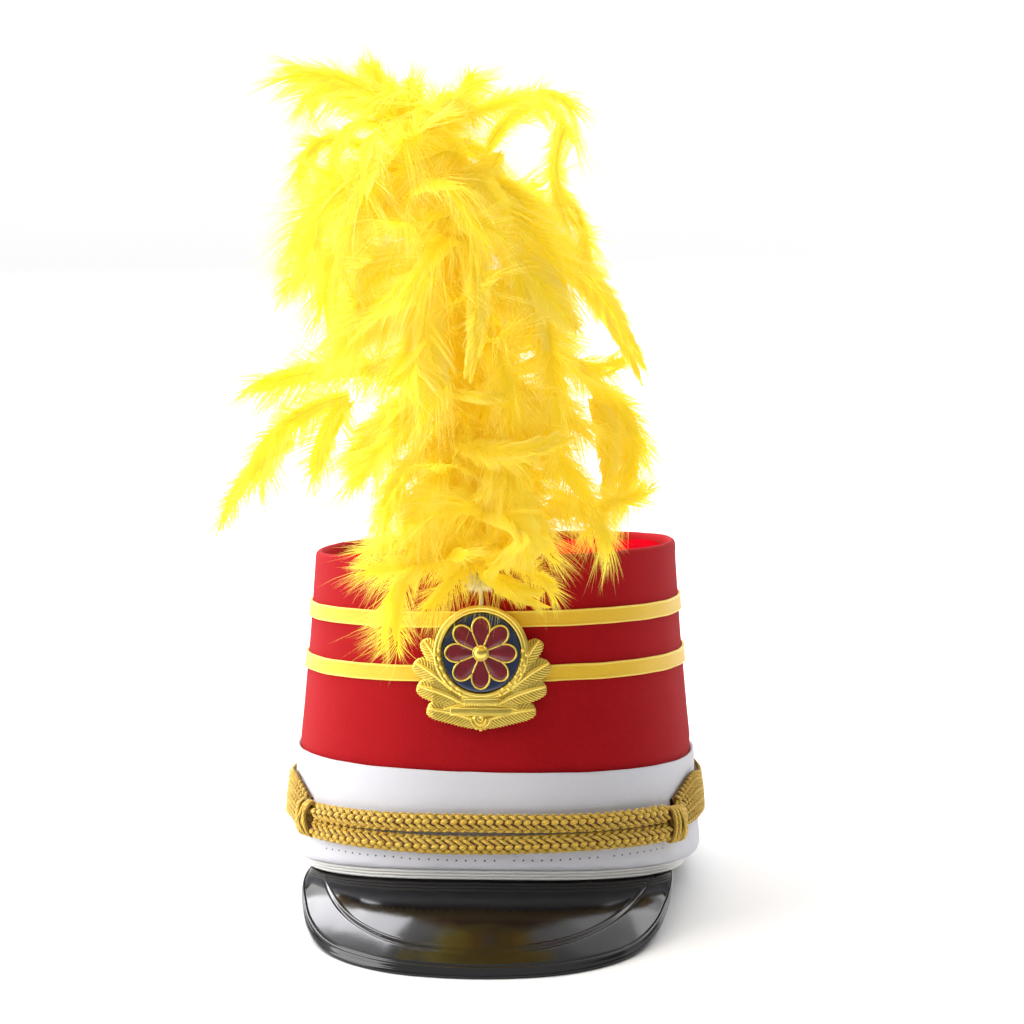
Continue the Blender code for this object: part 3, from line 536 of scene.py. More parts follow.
def crown_inside_profile(angle):
    lower = rim_height(angle) + BINDING_HEIGHT + GAP
    rise = INSIDE_TOP + TOP_SLOPE * np.sin(angle) - lower
    height = lower + rise * np.linspace(0.0, 1.0, INSIDE_ROWS)
    return [(lower, crown_half_width(lower)), (height, crown_half_width(height) - WALL)]


NET_THREADS = 4.2  # radians per mm
buckram = Paint("inner_buckram", Roughness=0.9)
weave_u, weave_v = buckram.cloth()
net = (weave_u * NET_THREADS).wave().size() + (weave_v * NET_THREADS).wave().size()
buckram.feed("Base Color", buckram.mix(net * 0.4, (0.5, 0.48, 0.44), (0.66, 0.64, 0.6)))
buckram.bump(net, 0.0002, 0.6)

outside = flip(sweep_round(crown_profile))
inside = sweep_round(crown_inside_profile)
add_piece("crown_cloth", "red_twill", ["crown"], (outside, twill), (inside, buckram))

# %% [markdown]
# ## Red satin on the top
#
# Inside the rolled edge the top is closed with a red satin panel. At the left it lies flat, and
# towards the right it stands up in sharp crumples. A cloth simulation would crumple it too, but
# differently each time its settings change. Ridged noise gives the same kind of sharp folds, and a
# mask by x decides where they stand.

# %% Satin and the top panel
satin = Paint("red_satin", Specular_IOR_Level=0.0)
satin_tone = satin.mix(satin.noise(60.0, 3.0), (0.42, 0.001, 0.006), (0.54, 0.003, 0.012))
satin.feed("Base Color", satin_tone)
satin.feed("Roughness", satin.noise(220.0, 2.0) * 0.14 + 0.5)
satin.bump(satin.noise(420.0, 3.0), 0.0003, 0.5)

PANEL_DEPTH = 5.2
PANEL_UNDER = 6.9
PANEL_EDGE = 79.2
PANEL_RINGS, PANEL_STEPS = 56, 240
CRUMPLE_FROM, CRUMPLE_SPAN = 12.0, 38.0  # mm to the right, in which the folds get higher
CRUMPLE_RISE = 5.2
CRUMPLE_SIZE = 0.034  # folds per mm
CRUMPLE_SEED = 5
noise.seed_set(CRUMPLE_SEED)  # the vector noise would be another one in each run otherwise


def crumple(x, y):
    """Height of the satin's folds."""
    amount = min(max((x - CRUMPLE_FROM) / CRUMPLE_SPAN, 0.0), 1.0)
    place = Vector((x * CRUMPLE_SIZE, y * CRUMPLE_SIZE * 1.7, 0.3))
    warp = noise.noise_vector(place * 1.3)
    sharp = noise.ridged_multi_fractal(place + warp * 0.55, 0.9, 2.1, 3, 0.9, 1.6)
    soft = noise.noise(Vector((x * 0.02, y * 0.03, 4.0)))
    return amount * CRUMPLE_RISE * min(max(0.1 + 0.42 * sharp, 0.0), 1.15) + 0.5 * soft


share = np.linspace(0.0, 1.0, PANEL_RINGS)[:, None]
angle = round_angles(PANEL_STEPS)[None, :]
edge_x, edge_y = oval_xy(angle, PANEL_EDGE)
panel_x, panel_y = edge_x * share, edge_y * share
folds = np.vectorize(crumple)(panel_x, panel_y) * np.clip((1.04 - share) / 0.1, 0.35, 1.0)
panel_slope = TOP_SLOPE * np.sin(angle) * share
panel_quads = grid_quads(PANEL_RINGS, PANEL_STEPS, close_columns=True)
panel_cloth = {"cloth": np.stack([panel_x, panel_y, panel_x * 0], axis=-1).reshape(-1, 3)}


def panel_part(height):
    return np.stack([panel_x, panel_y, height], axis=-1).reshape(-1, 3), panel_quads, panel_cloth


upper = panel_part(TOP_HEIGHT - PANEL_DEPTH + panel_slope + folds)
under = flip(panel_part(TOP_HEIGHT - PANEL_UNDER + panel_slope))
add_piece("crown_top_satin", "red_satin", ["crown_top"], (upper, satin), (under, buckram))

# %% [markdown]
# ## Yellow ribbons
#
# Two satin ribbons run round the crown. Each has a narrow woven edge, the selvedge, that stands up a little
# and catches the light as a finer, paler line. The profile gives it as a small bead at the top and the
# bottom, and a mask on the height paints that line on as a painted highlight, in a paler colour.

# %% Ribbon satin and the two ribbons
ribbon_satin = Paint(
    "yellow_satin", Roughness=0.42, Sheen_Weight=0.05, Sheen_Roughness=0.35, Specular_IOR_Level=0.3
)
ribbon_around, ribbon_up = ribbon_satin.cloth()
warp_lines = (ribbon_around * 9.0).wave()
weft_lines = (ribbon_up * 11.0).wave()
# painted highlight: the selvedge's paler line is painted into the ribbon's colour
selvedge_highlight = ribbon_satin.attribute("selvedge_highlight")
ribbon_tone = ribbon_satin.mix(ribbon_satin.noise(40.0, 3.0), (0.82, 0.50, 0.018), (0.93, 0.60, 0.03))
ribbon_tone = ribbon_satin.mix(weft_lines.raised() * 0.18, ribbon_tone, (0.62, 0.36, 0.02))
ribbon_satin.feed("Base Color", ribbon_satin.mix(selvedge_highlight, ribbon_tone, (1.0, 0.76, 0.12)))
ribbon_satin.bump(warp_lines * 0.5 + weft_lines, 0.00008, 0.6)

RIBBONS = [
    # name, bottom, top, side_slope, seed
    ("ribbon_upper", 112.8, 119.8, 1.2, 20),
    ("ribbon_lower", 89.2, 96.2, 0.9, 21),
]
RIBBON_THICK = 1.0
# width in mm of the painted highlight along each edge
SELVEDGE_HIGHLIGHT = 0.75
RIBBON_SECTION = np.array([
    # shares of the ribbon's width, and how far it stands out there
    (0, 0, 0.04, 0.09, 0.13, 0.16, 0.3, 0.5, 0.7, 0.84, 0.87, 0.91, 0.96, 1, 1),
    (0.05, 0.75, 1.1, 1.12, 0.95, 0.8, 0.84, 0.86, 0.84, 0.8, 0.95, 1.12, 1.1, 0.75, 0.05),
])


def make_ribbon(name, bottom, top, side_slope, seed):
    shares, proud = RIBBON_SECTION

    def profile(angle):
        edge_wave = 0.16 * ripples(angle, seed, (9, 17, 26))
        height = bottom + side_slope * np.sin(angle) + edge_wave + (top - bottom) * shares
        width = crown_half_width(height) + GAP * 0.9 + proud * RIBBON_THICK
        return [(height, width + wall_ripple(angle, height))]

    ribbon = flip(sweep_round(profile))
    edge = np.minimum(shares, 1 - shares) * (top - bottom)
    # the mask of the painted highlight along each edge
    ribbon[2]["selvedge_highlight"] = np.tile((edge < SELVEDGE_HIGHLIGHT).astype(float), ROUND_STEPS)
    add_piece(name + "_satin", "yellow_satin", [name], (ribbon, ribbon_satin))


for row in RIBBONS:
    make_ribbon(*row)

# %% [markdown]
# ## The white band and the rim's binding
#
# A white cloth band is wrapped round the bottom of the crown. It is turned under at its lower edge,
# and a line of needle holes is left where an older stitching was taken out. Under it the rim is
# bound with three thin rolls of white vinyl. Both are profiles carried round the oval. The holes are
# far smaller than a face, so the material draws them from the cloth's coordinates.

# %% White cloth
BAND_THICK = 1.5
BAND_TOP = 50.3
BAND_TOP_SLOPE = -1.8
BAND_ROWS = [
    # height, half_width
    (36.0, 92.3),
    (16.0, 94.4),
    (9.5, 95.0),
    (6.9, 94.3),
    (5.7, 93.4),
    (5.1, 92.4),
    (4.85, 91.4),
    (BAND_TOP, float(crown_half_width(BAND_TOP)) + GAP + BAND_THICK),
]
HOLE_ROW = 12.4  # height
HOLE_PITCH = 3.7
HOLE_RADIUS = 0.36
HOLE_RUNS = [
    # from, to, in mm round the rim from the front
    (-71.0, 6.0),
    (12.0, 47.0),
    (52.0, 82.0),
]

white_cloth = Paint(
    "white_cloth", Roughness=0.78, Sheen_Weight=0.04, Sheen_Roughness=0.5, Specular_IOR_Level=0.2
)
around, up = white_cloth.cloth()
fine_warp = (around * 13.0).wave()
fine_weft = (up * 13.0).wave()
slub = white_cloth.noise(300.0, 3.0)
soiling = white_cloth.noise(18.0, 3.0, 0.6)
white_tone = white_cloth.mix(soiling, (0.63, 0.63, 0.68), (0.71, 0.71, 0.75))
white_tone = white_cloth.mix((fine_warp * fine_weft) * 0.12 + 0.12, white_tone, (0.6, 0.6, 0.66))
wobble = white_cloth.noise(90.0, 1.0) - 0.5
hole_column = (around / HOLE_PITCH + wobble * 0.3).fraction() - 0.5
hole_across = hole_column * HOLE_PITCH
hole_up = up - HOLE_ROW + wobble * 0.8
hole = ((hole_across * hole_across + hole_up * hole_up) ** 0.5) < HOLE_RADIUS
in_runs = 0.0
for low, high in HOLE_RUNS:
    in_runs = (around > low) * (around < high) + in_runs
hole = hole * in_runs
white_cloth.feed("Base Color", white_cloth.mix(hole, white_tone, (0.05, 0.045, 0.05)))
white_cloth.bump(fine_warp * 0.3 + fine_weft * 0.3 + slub * 1.5 - hole * 3.0, 0.0001, 0.8)

# %% The band
PUCKER = 0.34  # mm that the cloth stands out in its small puckers
PUCKERS_AROUND, PUCKERS_UP = 0.11, 0.35  # per mm
SWELL = 0.4  # mm, in its broad unevenness
SWELLS_AROUND, SWELLS_UP = 0.02, 0.06
BAND_STEPS = 540
BAND_SHARES = np.concatenate([np.linspace(0.0, 0.1, 9), np.linspace(0.12, 1.0, 36)])
SAG_SPAN = 40.0  # mm below the band's top, over which its rows begin to follow the rim


def soft_table(rows, key, blur):
    """A table read five times a little apart, so that its corners are rounded."""
    shifts = (-1.0, -0.5, 0.0, 0.5, 1.0)
    return sum(table(rows, key + shift * blur) for shift in shifts) / len(shifts)


def noise_at(x, y, z):
    return np.vectorize(lambda a, b, c: noise.noise(Vector((a, b, c))))(x, y, z)


def band_profile(angle):
    sag = rim_height(angle)
    top = BAND_TOP + BAND_TOP_SLOPE * np.sin(angle) + 0.2 * ripples(angle, 5, (11, 19, 31))
    bottom = sag + BINDING_HEIGHT + GAP
    height = bottom + (top - bottom) * BAND_SHARES
    key = height - sag * share_of((BAND_TOP - height) / SAG_SPAN) ** 0.5
    width = soft_table(BAND_ROWS, key, np.clip((key - 5.0) * 0.35, 0.05, 4.0))
    around = angle * CLOTH_RADIUS
    low_part = hill(key - 9.0, 7.0)
    pucker = noise_at(around * PUCKERS_AROUND, height * PUCKERS_UP, 2.0)
    swell = noise_at(around * SWELLS_AROUND, height * SWELLS_UP, 7.0)
    width = width + PUCKER * pucker * (0.25 + low_part) * share_of((key - 4.9) / 1.5) + SWELL * swell
    cloth = crown_half_width(top) + GAP
    inner = crown_half_width(bottom) + GAP
    return [
        (height, width),
        (top + 0.12, cloth + 1.1),
        (top + 0.05, cloth + 0.3),
        (top - 1.0, cloth),
        (bottom + 10.0, crown_half_width(bottom + 10.0) + GAP),
        (bottom + 0.4, inner),
        (bottom, inner + 1.2),
    ]


band = flip(sweep_round(band_profile, BAND_STEPS, closed=True))
add_piece("white_band_cloth", "white_cloth", ["white_band"], (band, white_cloth))

# %% White vinyl
vinyl = Paint("white_vinyl", Roughness=0.42, Coat_Weight=0.15, Coat_Roughness=0.3)
# painted shade: the vinyl is painted darker in the crevices between the rolls, broken into patches
crevice_shade = vinyl.attribute("crevice")
patches = vinyl.noise(120.0, 4.0, 0.65)
vinyl_tone = vinyl.mix(patches, (0.80, 0.785, 0.745), (0.88, 0.87, 0.84))
vinyl.feed("Base Color", vinyl.mix(crevice_shade * patches.raised(), vinyl_tone, (0.16, 0.14, 0.12)))
vinyl.feed("Roughness", vinyl.noise(400.0, 2.0) * 0.2 + 0.32)
vinyl.bump(vinyl.noise(500.0, 3.0), 0.0002, 0.5)

# %% The binding's three rolls
BINDING_INNER = 85.2
BINDING_ROLLS = [
    # bottom, top, outer_half_width
    (3.05, 4.5, 90.35),
    (1.55, 3.0, 89.35),
    (0.0, 1.5, 88.4),
]
ROLL_BULGE = 0.95
ROLL_OVERLAP = 0.05
ROLL_TURN = np.linspace(0.5 * math.pi, -0.5 * math.pi, 9)


def on_floor(points):
    """Raise points that are under the floor up to it."""
    world_z = points @ hat_array[2, :3] + hat_array[2, 3]
    lifted = points.copy()
    lifted[..., 2] += np.maximum(0.0, -world_z) / hat_array[2, 2]
    return lifted


def binding_profile(angle):
    wave = 0.12 * ripples(angle, 14, (13, 23, 37))
    blocks = []
    for bottom, top, width in BINDING_ROLLS:
        middle, half = (bottom + top) / 2, (top - bottom) / 2 + ROLL_OVERLAP
        bulge = width - ROLL_BULGE + ROLL_BULGE * np.cos(ROLL_TURN)
        blocks.append((middle + half * np.sin(ROLL_TURN), bulge))
    blocks.append((np.array([0.0, BINDING_HEIGHT]), BINDING_INNER))
    return [(rim_height(angle) + height + wave, width + wave) for height, width in blocks]


points, faces, values = sweep_round(binding_profile, closed=True)
# how much painted shade each point gets: most at the top and bottom of each roll, where it meets the next
crevice = np.concatenate([np.tile(1.0 - np.cos(ROLL_TURN) ** 0.35, len(BINDING_ROLLS)), np.zeros(2)])
values["crevice"] = np.tile(crevice, ROUND_STEPS)
binding = (on_floor(points), faces, values)
add_piece("rim_binding_rolls", "white_vinyl", ["rim_binding"], (binding, vinyl))

# %% [markdown]
# ## The peak
#
# The peak is moulded from black plastic with a high gloss. What one sees of such a surface is only
# what it reflects, so its shape has to be smooth: the edge comes from a Catmull-Rom curve through a
# few measured rows, and the mesh is fine. The raised bead at the edge and the shallow crease that
# runs inside it are part of the mesh, because a reflection bends there.

# %% Black plastic
plastic = Paint("black_plastic", IOR=1.46, Coat_Weight=0.0)
plastic_tone = plastic.mix(plastic.noise(40.0, 2.0), (0.004, 0.004, 0.005), (0.008, 0.007, 0.008))
plastic.feed("Base Color", plastic_tone)
smears = plastic.noise(26.0, 4.0, 0.6)
scuffs = plastic.noise(900.0, 2.0)
plastic.feed("Roughness", smears * 0.09 + scuffs * 0.05 + 0.06)
plastic.bump(plastic.noise(55.0, 1.0) + scuffs * 0.05, 0.0004, 0.35)

# %% The peak's surface
VISOR_THICK = 2.2
VISOR_CROWN = 2.2
VISOR_INSET = 1.6
BINDING_FOOT = 88.1
VISOR_EDGE = [
    # seam_degrees, edge_x, edge_y, edge_z
    (0.0, 0.0, -142.0, -28.0),
    (14.0, 31.0, -138.0, -27.4),
    (27.0, 53.0, -127.0, -25.8),
    (38.0, 67.5, -112.0, -23.0),
    (47.0, 76.0, -95.5, -17.8),
    (55.0, 80.5, -79.0, -11.0),
    (62.0, 82.6, -64.0, -5.4),
]
VISOR_END = 66.0  # degrees
VISOR_END_STEP = np.array((1.2, -1.2, -1.0))
VISOR_COLUMNS = 220
BEAD_IN, BEAD_WIDTH = 1.9, 1.15  # mm in from the edge
GROOVE_IN, GROOVE_WIDTH, GROOVE_DEPTH = 3.7, 0.55, 0.4
CREASE_SHARE = 0.79
CREASE_END = 55.0  # degrees
CREASE_RIDGE, CREASE_DEPTH = 0.32, 0.38
FULL_CROWN_LENGTH = 55.0  # mm of slope; where there is less, the peak is flatter
FULL_BEAD_LENGTH = 12.0
EDGE_BULGE = 0.45


def smooth_rows(rows, key, column):
    """A smooth curve through a table's rows (Catmull-Rom), for an array of keys."""
    rows = np.array(rows, dtype=float)
    index = np.clip(np.searchsorted(rows[:, 0], key, side="right") - 1, 0, len(rows) - 2)
    share = (key - rows[index, 0]) / (rows[index + 1, 0] - rows[index, 0])
    before = rows[np.maximum(index - 1, 0), column]
    start, end = rows[index, column], rows[index + 1, column]
    after = rows[np.minimum(index + 2, len(rows) - 1), column]
    s2, s3 = share**2, share**3
    return (
        start * (2 * s3 - 3 * s2 + 1)
        + (end - before) / 2 * (s3 - 2 * s2 + share)
        + end * (3 * s2 - 2 * s3)
        + (after - start) / 2 * (s3 - s2)
    )


def visor_seam(degrees):
    angle = np.radians(degrees)
    x, y = oval_xy(angle, BINDING_FOOT - VISOR_INSET)
    return np.stack([x, y, rim_height(angle) - GAP], axis=-1)


def visor_edge(degrees):
    end = visor_seam(np.array(VISOR_END)) + VISOR_END_STEP
    rows = [(-row[0], -row[1], row[2], row[3]) for row in VISOR_EDGE[:0:-1]] + list(VISOR_EDGE)
    rows = [(-VISOR_END, -end[0], end[1], end[2])] + rows + [(VISOR_END, *end)]
    return np.stack([smooth_rows(rows, degrees, column) for column in (1, 2, 3)], axis=-1)


degrees = np.linspace(-VISOR_END, VISOR_END, VISOR_COLUMNS)
seam, edge = visor_seam(degrees), visor_edge(degrees)
slope_length = np.linalg.norm(edge - seam, axis=1)[:, None]
fullness = np.minimum(slope_length / FULL_CROWN_LENGTH, 1.0)


def peak_sheet(shares, drop):
    """Rows of points from the seam to the edge, a little arched."""
    sheet = seam[:, None] + (edge - seam)[:, None] * shares[..., None]
    sheet[..., 2] += VISOR_CROWN * fullness * 4 * shares * (1 - shares) - drop
    return sheet


shares = np.concatenate([np.linspace(0.0, 0.86, 60), np.linspace(0.865, 1.0, 28)])[None, :]
upper = peak_sheet(shares, 0.0)
under = peak_sheet(np.linspace(1.0, 0.0, 24)[None, 1:], VISOR_THICK)
from_edge = slope_length * (1 - shares)
bead = hill(from_edge - BEAD_IN, BEAD_WIDTH, 4)
bead -= GROOVE_DEPTH * hill(from_edge - GROOVE_IN, GROOVE_WIDTH)
off_middle = np.abs(degrees)[:, None]
crease_share = CREASE_SHARE * share_of(1 - (off_middle / CREASE_END) ** 2.3) ** 0.8
from_crease = slope_length * (shares - crease_share)
crease_strength = np.clip((off_middle - 3.0) / 10.0, 0.15, 1.0) * share_of(shares * slope_length / 3.0)
crease = CREASE_RIDGE * hill(from_crease + 0.7, 0.6) - CREASE_DEPTH * hill(from_crease - 0.5, 0.55)
upper[..., 2] += np.minimum(slope_length / FULL_BEAD_LENGTH, 1.0) * bead + crease_strength * crease

outward = (edge - seam) * [1, 1, 0]
outward = outward / np.maximum(np.linalg.norm(outward, axis=1)[:, None], 0.001)
lip = []
for turn in np.linspace(0.0, 1.0, 7)[1:]:
    lip.append(edge - UP * VISOR_THICK * turn + outward * EDGE_BULGE * math.sin(math.pi * turn))
visor_points = np.concatenate([upper, np.stack(lip, axis=1), under], axis=1)
visor_faces = grid_quads(VISOR_COLUMNS, visor_points.shape[1], close_columns=True)
visor = (on_floor(visor_points.reshape(-1, 3)), visor_faces, {})
add_piece("visor_peak", "black_plastic", ["visor"], (visor, plastic))

# %% [markdown]
# ## Plaited gold cords
#
# Over the peak lie two round plaits of gold cord. Real plaiting hides most of each strand, and what shows is
# a row of short slanting lobes for every strand that comes round to the front. So only the lobes are built:
# each is a short swelling body whose ends dip into a core. The core is painted dark all over as painted
# shade, and the lobes' ends get painted shade where they dip in. Rows of long thin lobes lie next to rows of
# short thick ones, and neighbouring rows slant the other way.

# %% Gold cord
gold_cord = Paint("gold_cord", Sheen_Weight=0.2, Sheen_Roughness=0.4, Sheen_Tint=(1.0, 0.85, 0.5, 1.0))
along = gold_cord.attribute("along")
turned = gold_cord.attribute("turned")
buried_shade = gold_cord.attribute("buried_shade")
TWIST_PER_MM = 2.6
FIBRES_ROUND = 6.0
fibres = (turned * FIBRES_ROUND + along * TWIST_PER_MM).wave()
thread = gold_cord.noise(900.0, 2.0)
cord_tone = gold_cord.mix(gold_cord.noise(130.0, 2.0), (1.0, 0.58, 0.05), (1.0, 0.74, 0.12))
cord_tone = gold_cord.mix((0.5 - fibres * 0.5) ** 2.0 * 0.36, cord_tone, (0.42, 0.18, 0.015))
# painted shade: the cord is painted dark where a strand lies deep among the others
cord_tone = gold_cord.mix(buried_shade, cord_tone, (0.13, 0.042, 0.003))
gold_cord.feed("Base Color", cord_tone)
gold_cord.feed("Metallic", thread * 0.1)
gold_cord.feed("Roughness", thread * 0.2 + 0.36)
gold_cord.bump(fibres + thread * 0.5, 0.00022, 1.0)

cord_shadow = Paint("cord_shadow", Roughness=0.8)
shadow_grain = cord_shadow.noise(800.0, 2.0)
cord_shadow.feed("Base Color", cord_shadow.mix(shadow_grain, (0.10, 0.04, 0.004), (0.20, 0.09, 0.01)))
cord_shadow.bump(shadow_grain, 0.0002, 0.6)


def tube(path, radius, sides, wide=UP, closed=False, capped=True, buried_shade=0.0, end_shade=0.0):
    """A round strand along a path of points. wide is a direction that the path doesn't run in; buried is the
    painted shade of each ring of points, and end_shade that of the middles of the two ends."""
    ahead, behind = np.roll(path, -1, axis=0), np.roll(path, 1, axis=0)
    if not closed:
        ahead[-1], behind[0] = path[-1], path[0]
    tangent = ahead - behind
    tangent /= np.linalg.norm(tangent, axis=1)[:, None]
    across = np.cross(tangent, np.broadcast_to(wide, tangent.shape))
    across /= np.maximum(np.linalg.norm(across, axis=1)[:, None], 0.0001)
    lift = np.cross(across, tangent)
    rings = len(path)
    turn = round_angles(sides)
    ring = across[:, None] * np.cos(turn)[None, :, None] + lift[:, None] * np.sin(turn)[None, :, None]
    points = path[:, None] + ring * np.broadcast_to(radius, rings)[:, None, None]
    points = points.reshape(-1, 3)
    triangles = split_quads(grid_quads(rings, sides, close_rows=closed, close_columns=True))
    step = np.linalg.norm(np.diff(path, axis=0), axis=1)
    values = {
        "along": np.repeat(np.concatenate([[0.0], np.cumsum(step)]), sides),
        "turned": np.tile(np.minimum(turn, FULL_TURN - turn), rings),
        "buried_shade": np.repeat(np.broadcast_to(buried_shade, rings), sides),
    }
    if closed or not capped:
        return points, triangles, values
    start = len(points)
    last = start - sides
    i = np.arange(sides)
    j = (i + 1) % sides
    first_cap = np.stack([j, i, i * 0 + start], axis=-1)
    last_cap = np.stack([last + i, last + j, i * 0 + start + 1], axis=-1)
    values = {key: np.append(numbers, [0.0, 0.0]) for key, numbers in values.items()}
    values["buried_shade"][-2:] = end_shade
    return np.concatenate([points, path[[0, -1]]]), np.concatenate([triangles, first_cap, last_cap]), values


def on_band(degrees, height, outward):
    """Points at a distance outside the white band."""
    angle = np.radians(degrees)
    width = soft_table(BAND_ROWS, height, 1.5)
    x, y = oval_xy(angle, width)
    out_x, out_y = oval_outward(angle, width)
    return np.stack([x + outward * out_x, y + outward * out_y, height + 0 * x], axis=-1)


# %% The two cords over the peak
CORD_HEIGHT = 8.6
CORD_DEPTH = 6.6
CORD_RADIUS = 95.0  # mm round the hat for each radian
CORE_RADIUS = 2.3
LOBE_STEP = 3.7  # mm from lobe to lobe along a cord
KNOT_PULL = 0.5
KNOT_PULL_SHARE = 0.12
KNOT_LEFT = (-49.5, 25.0)  # degrees from the front, height
KNOT_RIGHT = (53.5, 23.0)
KNOT_SIZE = np.array((5.4, 4.3, 8.4))
FRONT_CORDS = [
    # name, height, pull, upwards: whether the rows below are counted upwards or downwards
    ("braid_front_upper", 28.7, -KNOT_PULL, 1.0),
    ("braid_front_lower", 19.9, KNOT_PULL, -1.0),
]
CORD_LOBES = [
    # degrees round the cord from its front, half_length, half_turn, radius
    (92.0, 2.0, 24.0, 0.84),
    (52.0, 2.0, -24.0, 0.88),
    (14.0, 1.6, 12.0, 1.16),
    (-28.0, 2.7, -30.0, 0.78),
    (-68.0, 2.0, 24.0, 0.84),
    (-108.0, 2.0, -24.0, 0.84),
]
CORD_SHARES = np.array([-1.0, -0.72, -0.28, 0.28, 0.72, 1.0])
CORD_FULLNESS = np.array([0.4, 0.8, 1.0, 1.0, 0.8, 0.4])


def plait_cord(name, height, pull, upwards):
    rng = np.random.default_rng(31)
    spare = math.degrees((KNOT_SIZE[0] - 1.5) / CORD_RADIUS)
    start, end = KNOT_LEFT[0] + spare, KNOT_RIGHT[0] - spare
    count = int(math.radians(end - start) * CORD_RADIUS / LOBE_STEP)

    def place(degrees, out, up):
        share = (degrees - start) / (end - start)
        near_end = np.maximum(0.0, 1.0 - np.minimum(share, 1 - share) / KNOT_PULL_SHARE)
        level = height + pull * near_end**2 + 0.35 * np.sin(share * 9.0 + height)
        return on_band(degrees, level + up, CORD_DEPTH / 2 + GAP + out)

    core_path = place(np.linspace(start, end, count * 2), 0.0, 0.0)
    # the core is painted fully dark, as painted shade between the lobes
    bodies = [tube(core_path, CORE_RADIUS, 10, buried_shade=1.0, end_shade=1.0)]
    dip = 1.0 - 0.34 * CORD_SHARES**2
    for row, (turn, half_length, half_turn, radius) in enumerate(CORD_LOBES):
        half_out, half_up = CORD_DEPTH / 2 - radius, CORD_HEIGHT / 2 - radius
        for i in range(count):
            step = i + 0.5 + 0.5 * (row % 2) + rng.uniform(-0.07, 0.07)
            middle = start + step / (count + 0.5) * (end - start)
            degrees = np.clip(middle + np.degrees(CORD_SHARES * half_length / CORD_RADIUS), start, end)
            around = np.radians(turn * upwards + half_turn * CORD_SHARES)
            path = place(degrees, half_out * dip * np.cos(around), half_up * dip * np.sin(around))
            thickness = radius * rng.uniform(0.94, 1.06) * CORD_FULLNESS
            bodies.append(tube(path, thickness, 9, buried_shade=np.abs(CORD_SHARES) ** 3 * 0.9))
    add_piece(name + "_plait", "gold_cord", [name], (join_parts(bodies), gold_cord))


for row in FRONT_CORDS:
    plait_cord(*row)

# %% [markdown]
# ## The knots
#
# Where the two cords meet, a strand is wound round them several times. Each turn of the winding is a closed
# loop of strand, and the loops lean different ways, so that some of them cross. Three cores fill the gaps
# between the loops. They are painted dark as painted shade, and the loops' flanks, where they press on each
# other, get painted shade too.

# %% Two wrapped knots
WRAP_RADIUS = 0.95
WRAP_STEPS, WRAP_SIDES = 44, 12
KNOT_CORE_HEIGHTS = (-3.2, 0.0, 3.2)
KNOT_CORE_INSET = 1.6
KNOT_WRAPS = {
    # name: place, and rows of (shift along the rim at the bottom, at the top, how much fuller it is)
    "knot_left": (KNOT_LEFT, [
        (-4.5, -3.4, -0.1),
        (-2.8, 1.8, 0.5),
        (-0.4, 4.2, 0.0),
        (2.0, -3.0, 1.1),
        (4.4, 2.4, 0.3),
    ]),
    "knot_right": (KNOT_RIGHT, [
        (-4.4, -4.6, -0.1),
        (-2.2, -2.6, 0.4),
        (-0.2, 3.4, 0.1),
        (2.6, -0.8, 1.0),
        (4.5, 1.3, 0.4),
        (2.4, 4.5, -0.1),
    ]),
}


def wrap_knot(name):
    (degrees, height), wraps = KNOT_WRAPS[name]
    middle = on_band(np.array([degrees]), np.array([height]), KNOT_SIZE[1] + GAP)[0]
    out_x, out_y = oval_outward(math.radians(degrees), CORD_RADIUS)
    outward = np.array([out_x, out_y, 0.0])
    along = np.cross(UP, outward)
    turn = round_angles(WRAP_STEPS)
    loops = []
    for low, high, fuller in wraps:
        up = (KNOT_SIZE[2] - WRAP_RADIUS) * np.cos(turn)
        out = (KNOT_SIZE[1] - WRAP_RADIUS + fuller) * np.sin(turn)
        shift = low + (high - low) * (0.5 + 0.5 * np.cos(turn))
        shift = np.where(np.sin(turn) < 0, (low + high) / 2, shift)
        path = middle + along * shift[:, None] + outward * out[:, None] + UP * up[:, None]
        loop = tube(path, WRAP_RADIUS, WRAP_SIDES, wide=along, closed=True)
        # painted shade on the flanks of each loop, where it meets the next
        loop[2]["buried_shade"] = np.sin(loop[2]["turned"]) ** 6 * 0.75
        loops.append(loop)
    core_share = np.linspace(-1.0, 1.0, 12)
    core_path = middle + along * (core_share * KNOT_SIZE[0] * 0.8)[:, None]
    core_radius = (KNOT_SIZE[1] - KNOT_CORE_INSET) * np.sqrt(np.clip(1.05 - core_share**2, 0.02, 1.0))
    # the cores are painted dark, as painted shade in the gaps between the loops
    for height in KNOT_CORE_HEIGHTS:
        loops.append(tube(core_path + UP * height, core_radius, WRAP_SIDES, buried_shade=0.8, end_shade=0.8))
    add_piece(name + "_wraps", "gold_cord", [name], (join_parts(loops), gold_cord))


for name in KNOT_WRAPS:
    wrap_knot(name)

# %% [markdown]
# ## The flat plait round the back
#
# From the knots a broad flat plait goes on round the hat. It is woven of many thin strands, so that small
# slanting lobes stand in rows, each row slanting the other way. Real weaving of a dozen strands would need
# far more faces than it shows. Each lobe is a short swelling body of its own here, set on a strip that is
# painted dark as the shade between the lobes, which looks the same from outside. The lobes' ends are painted
# darker too, as painted shade where they dip in.

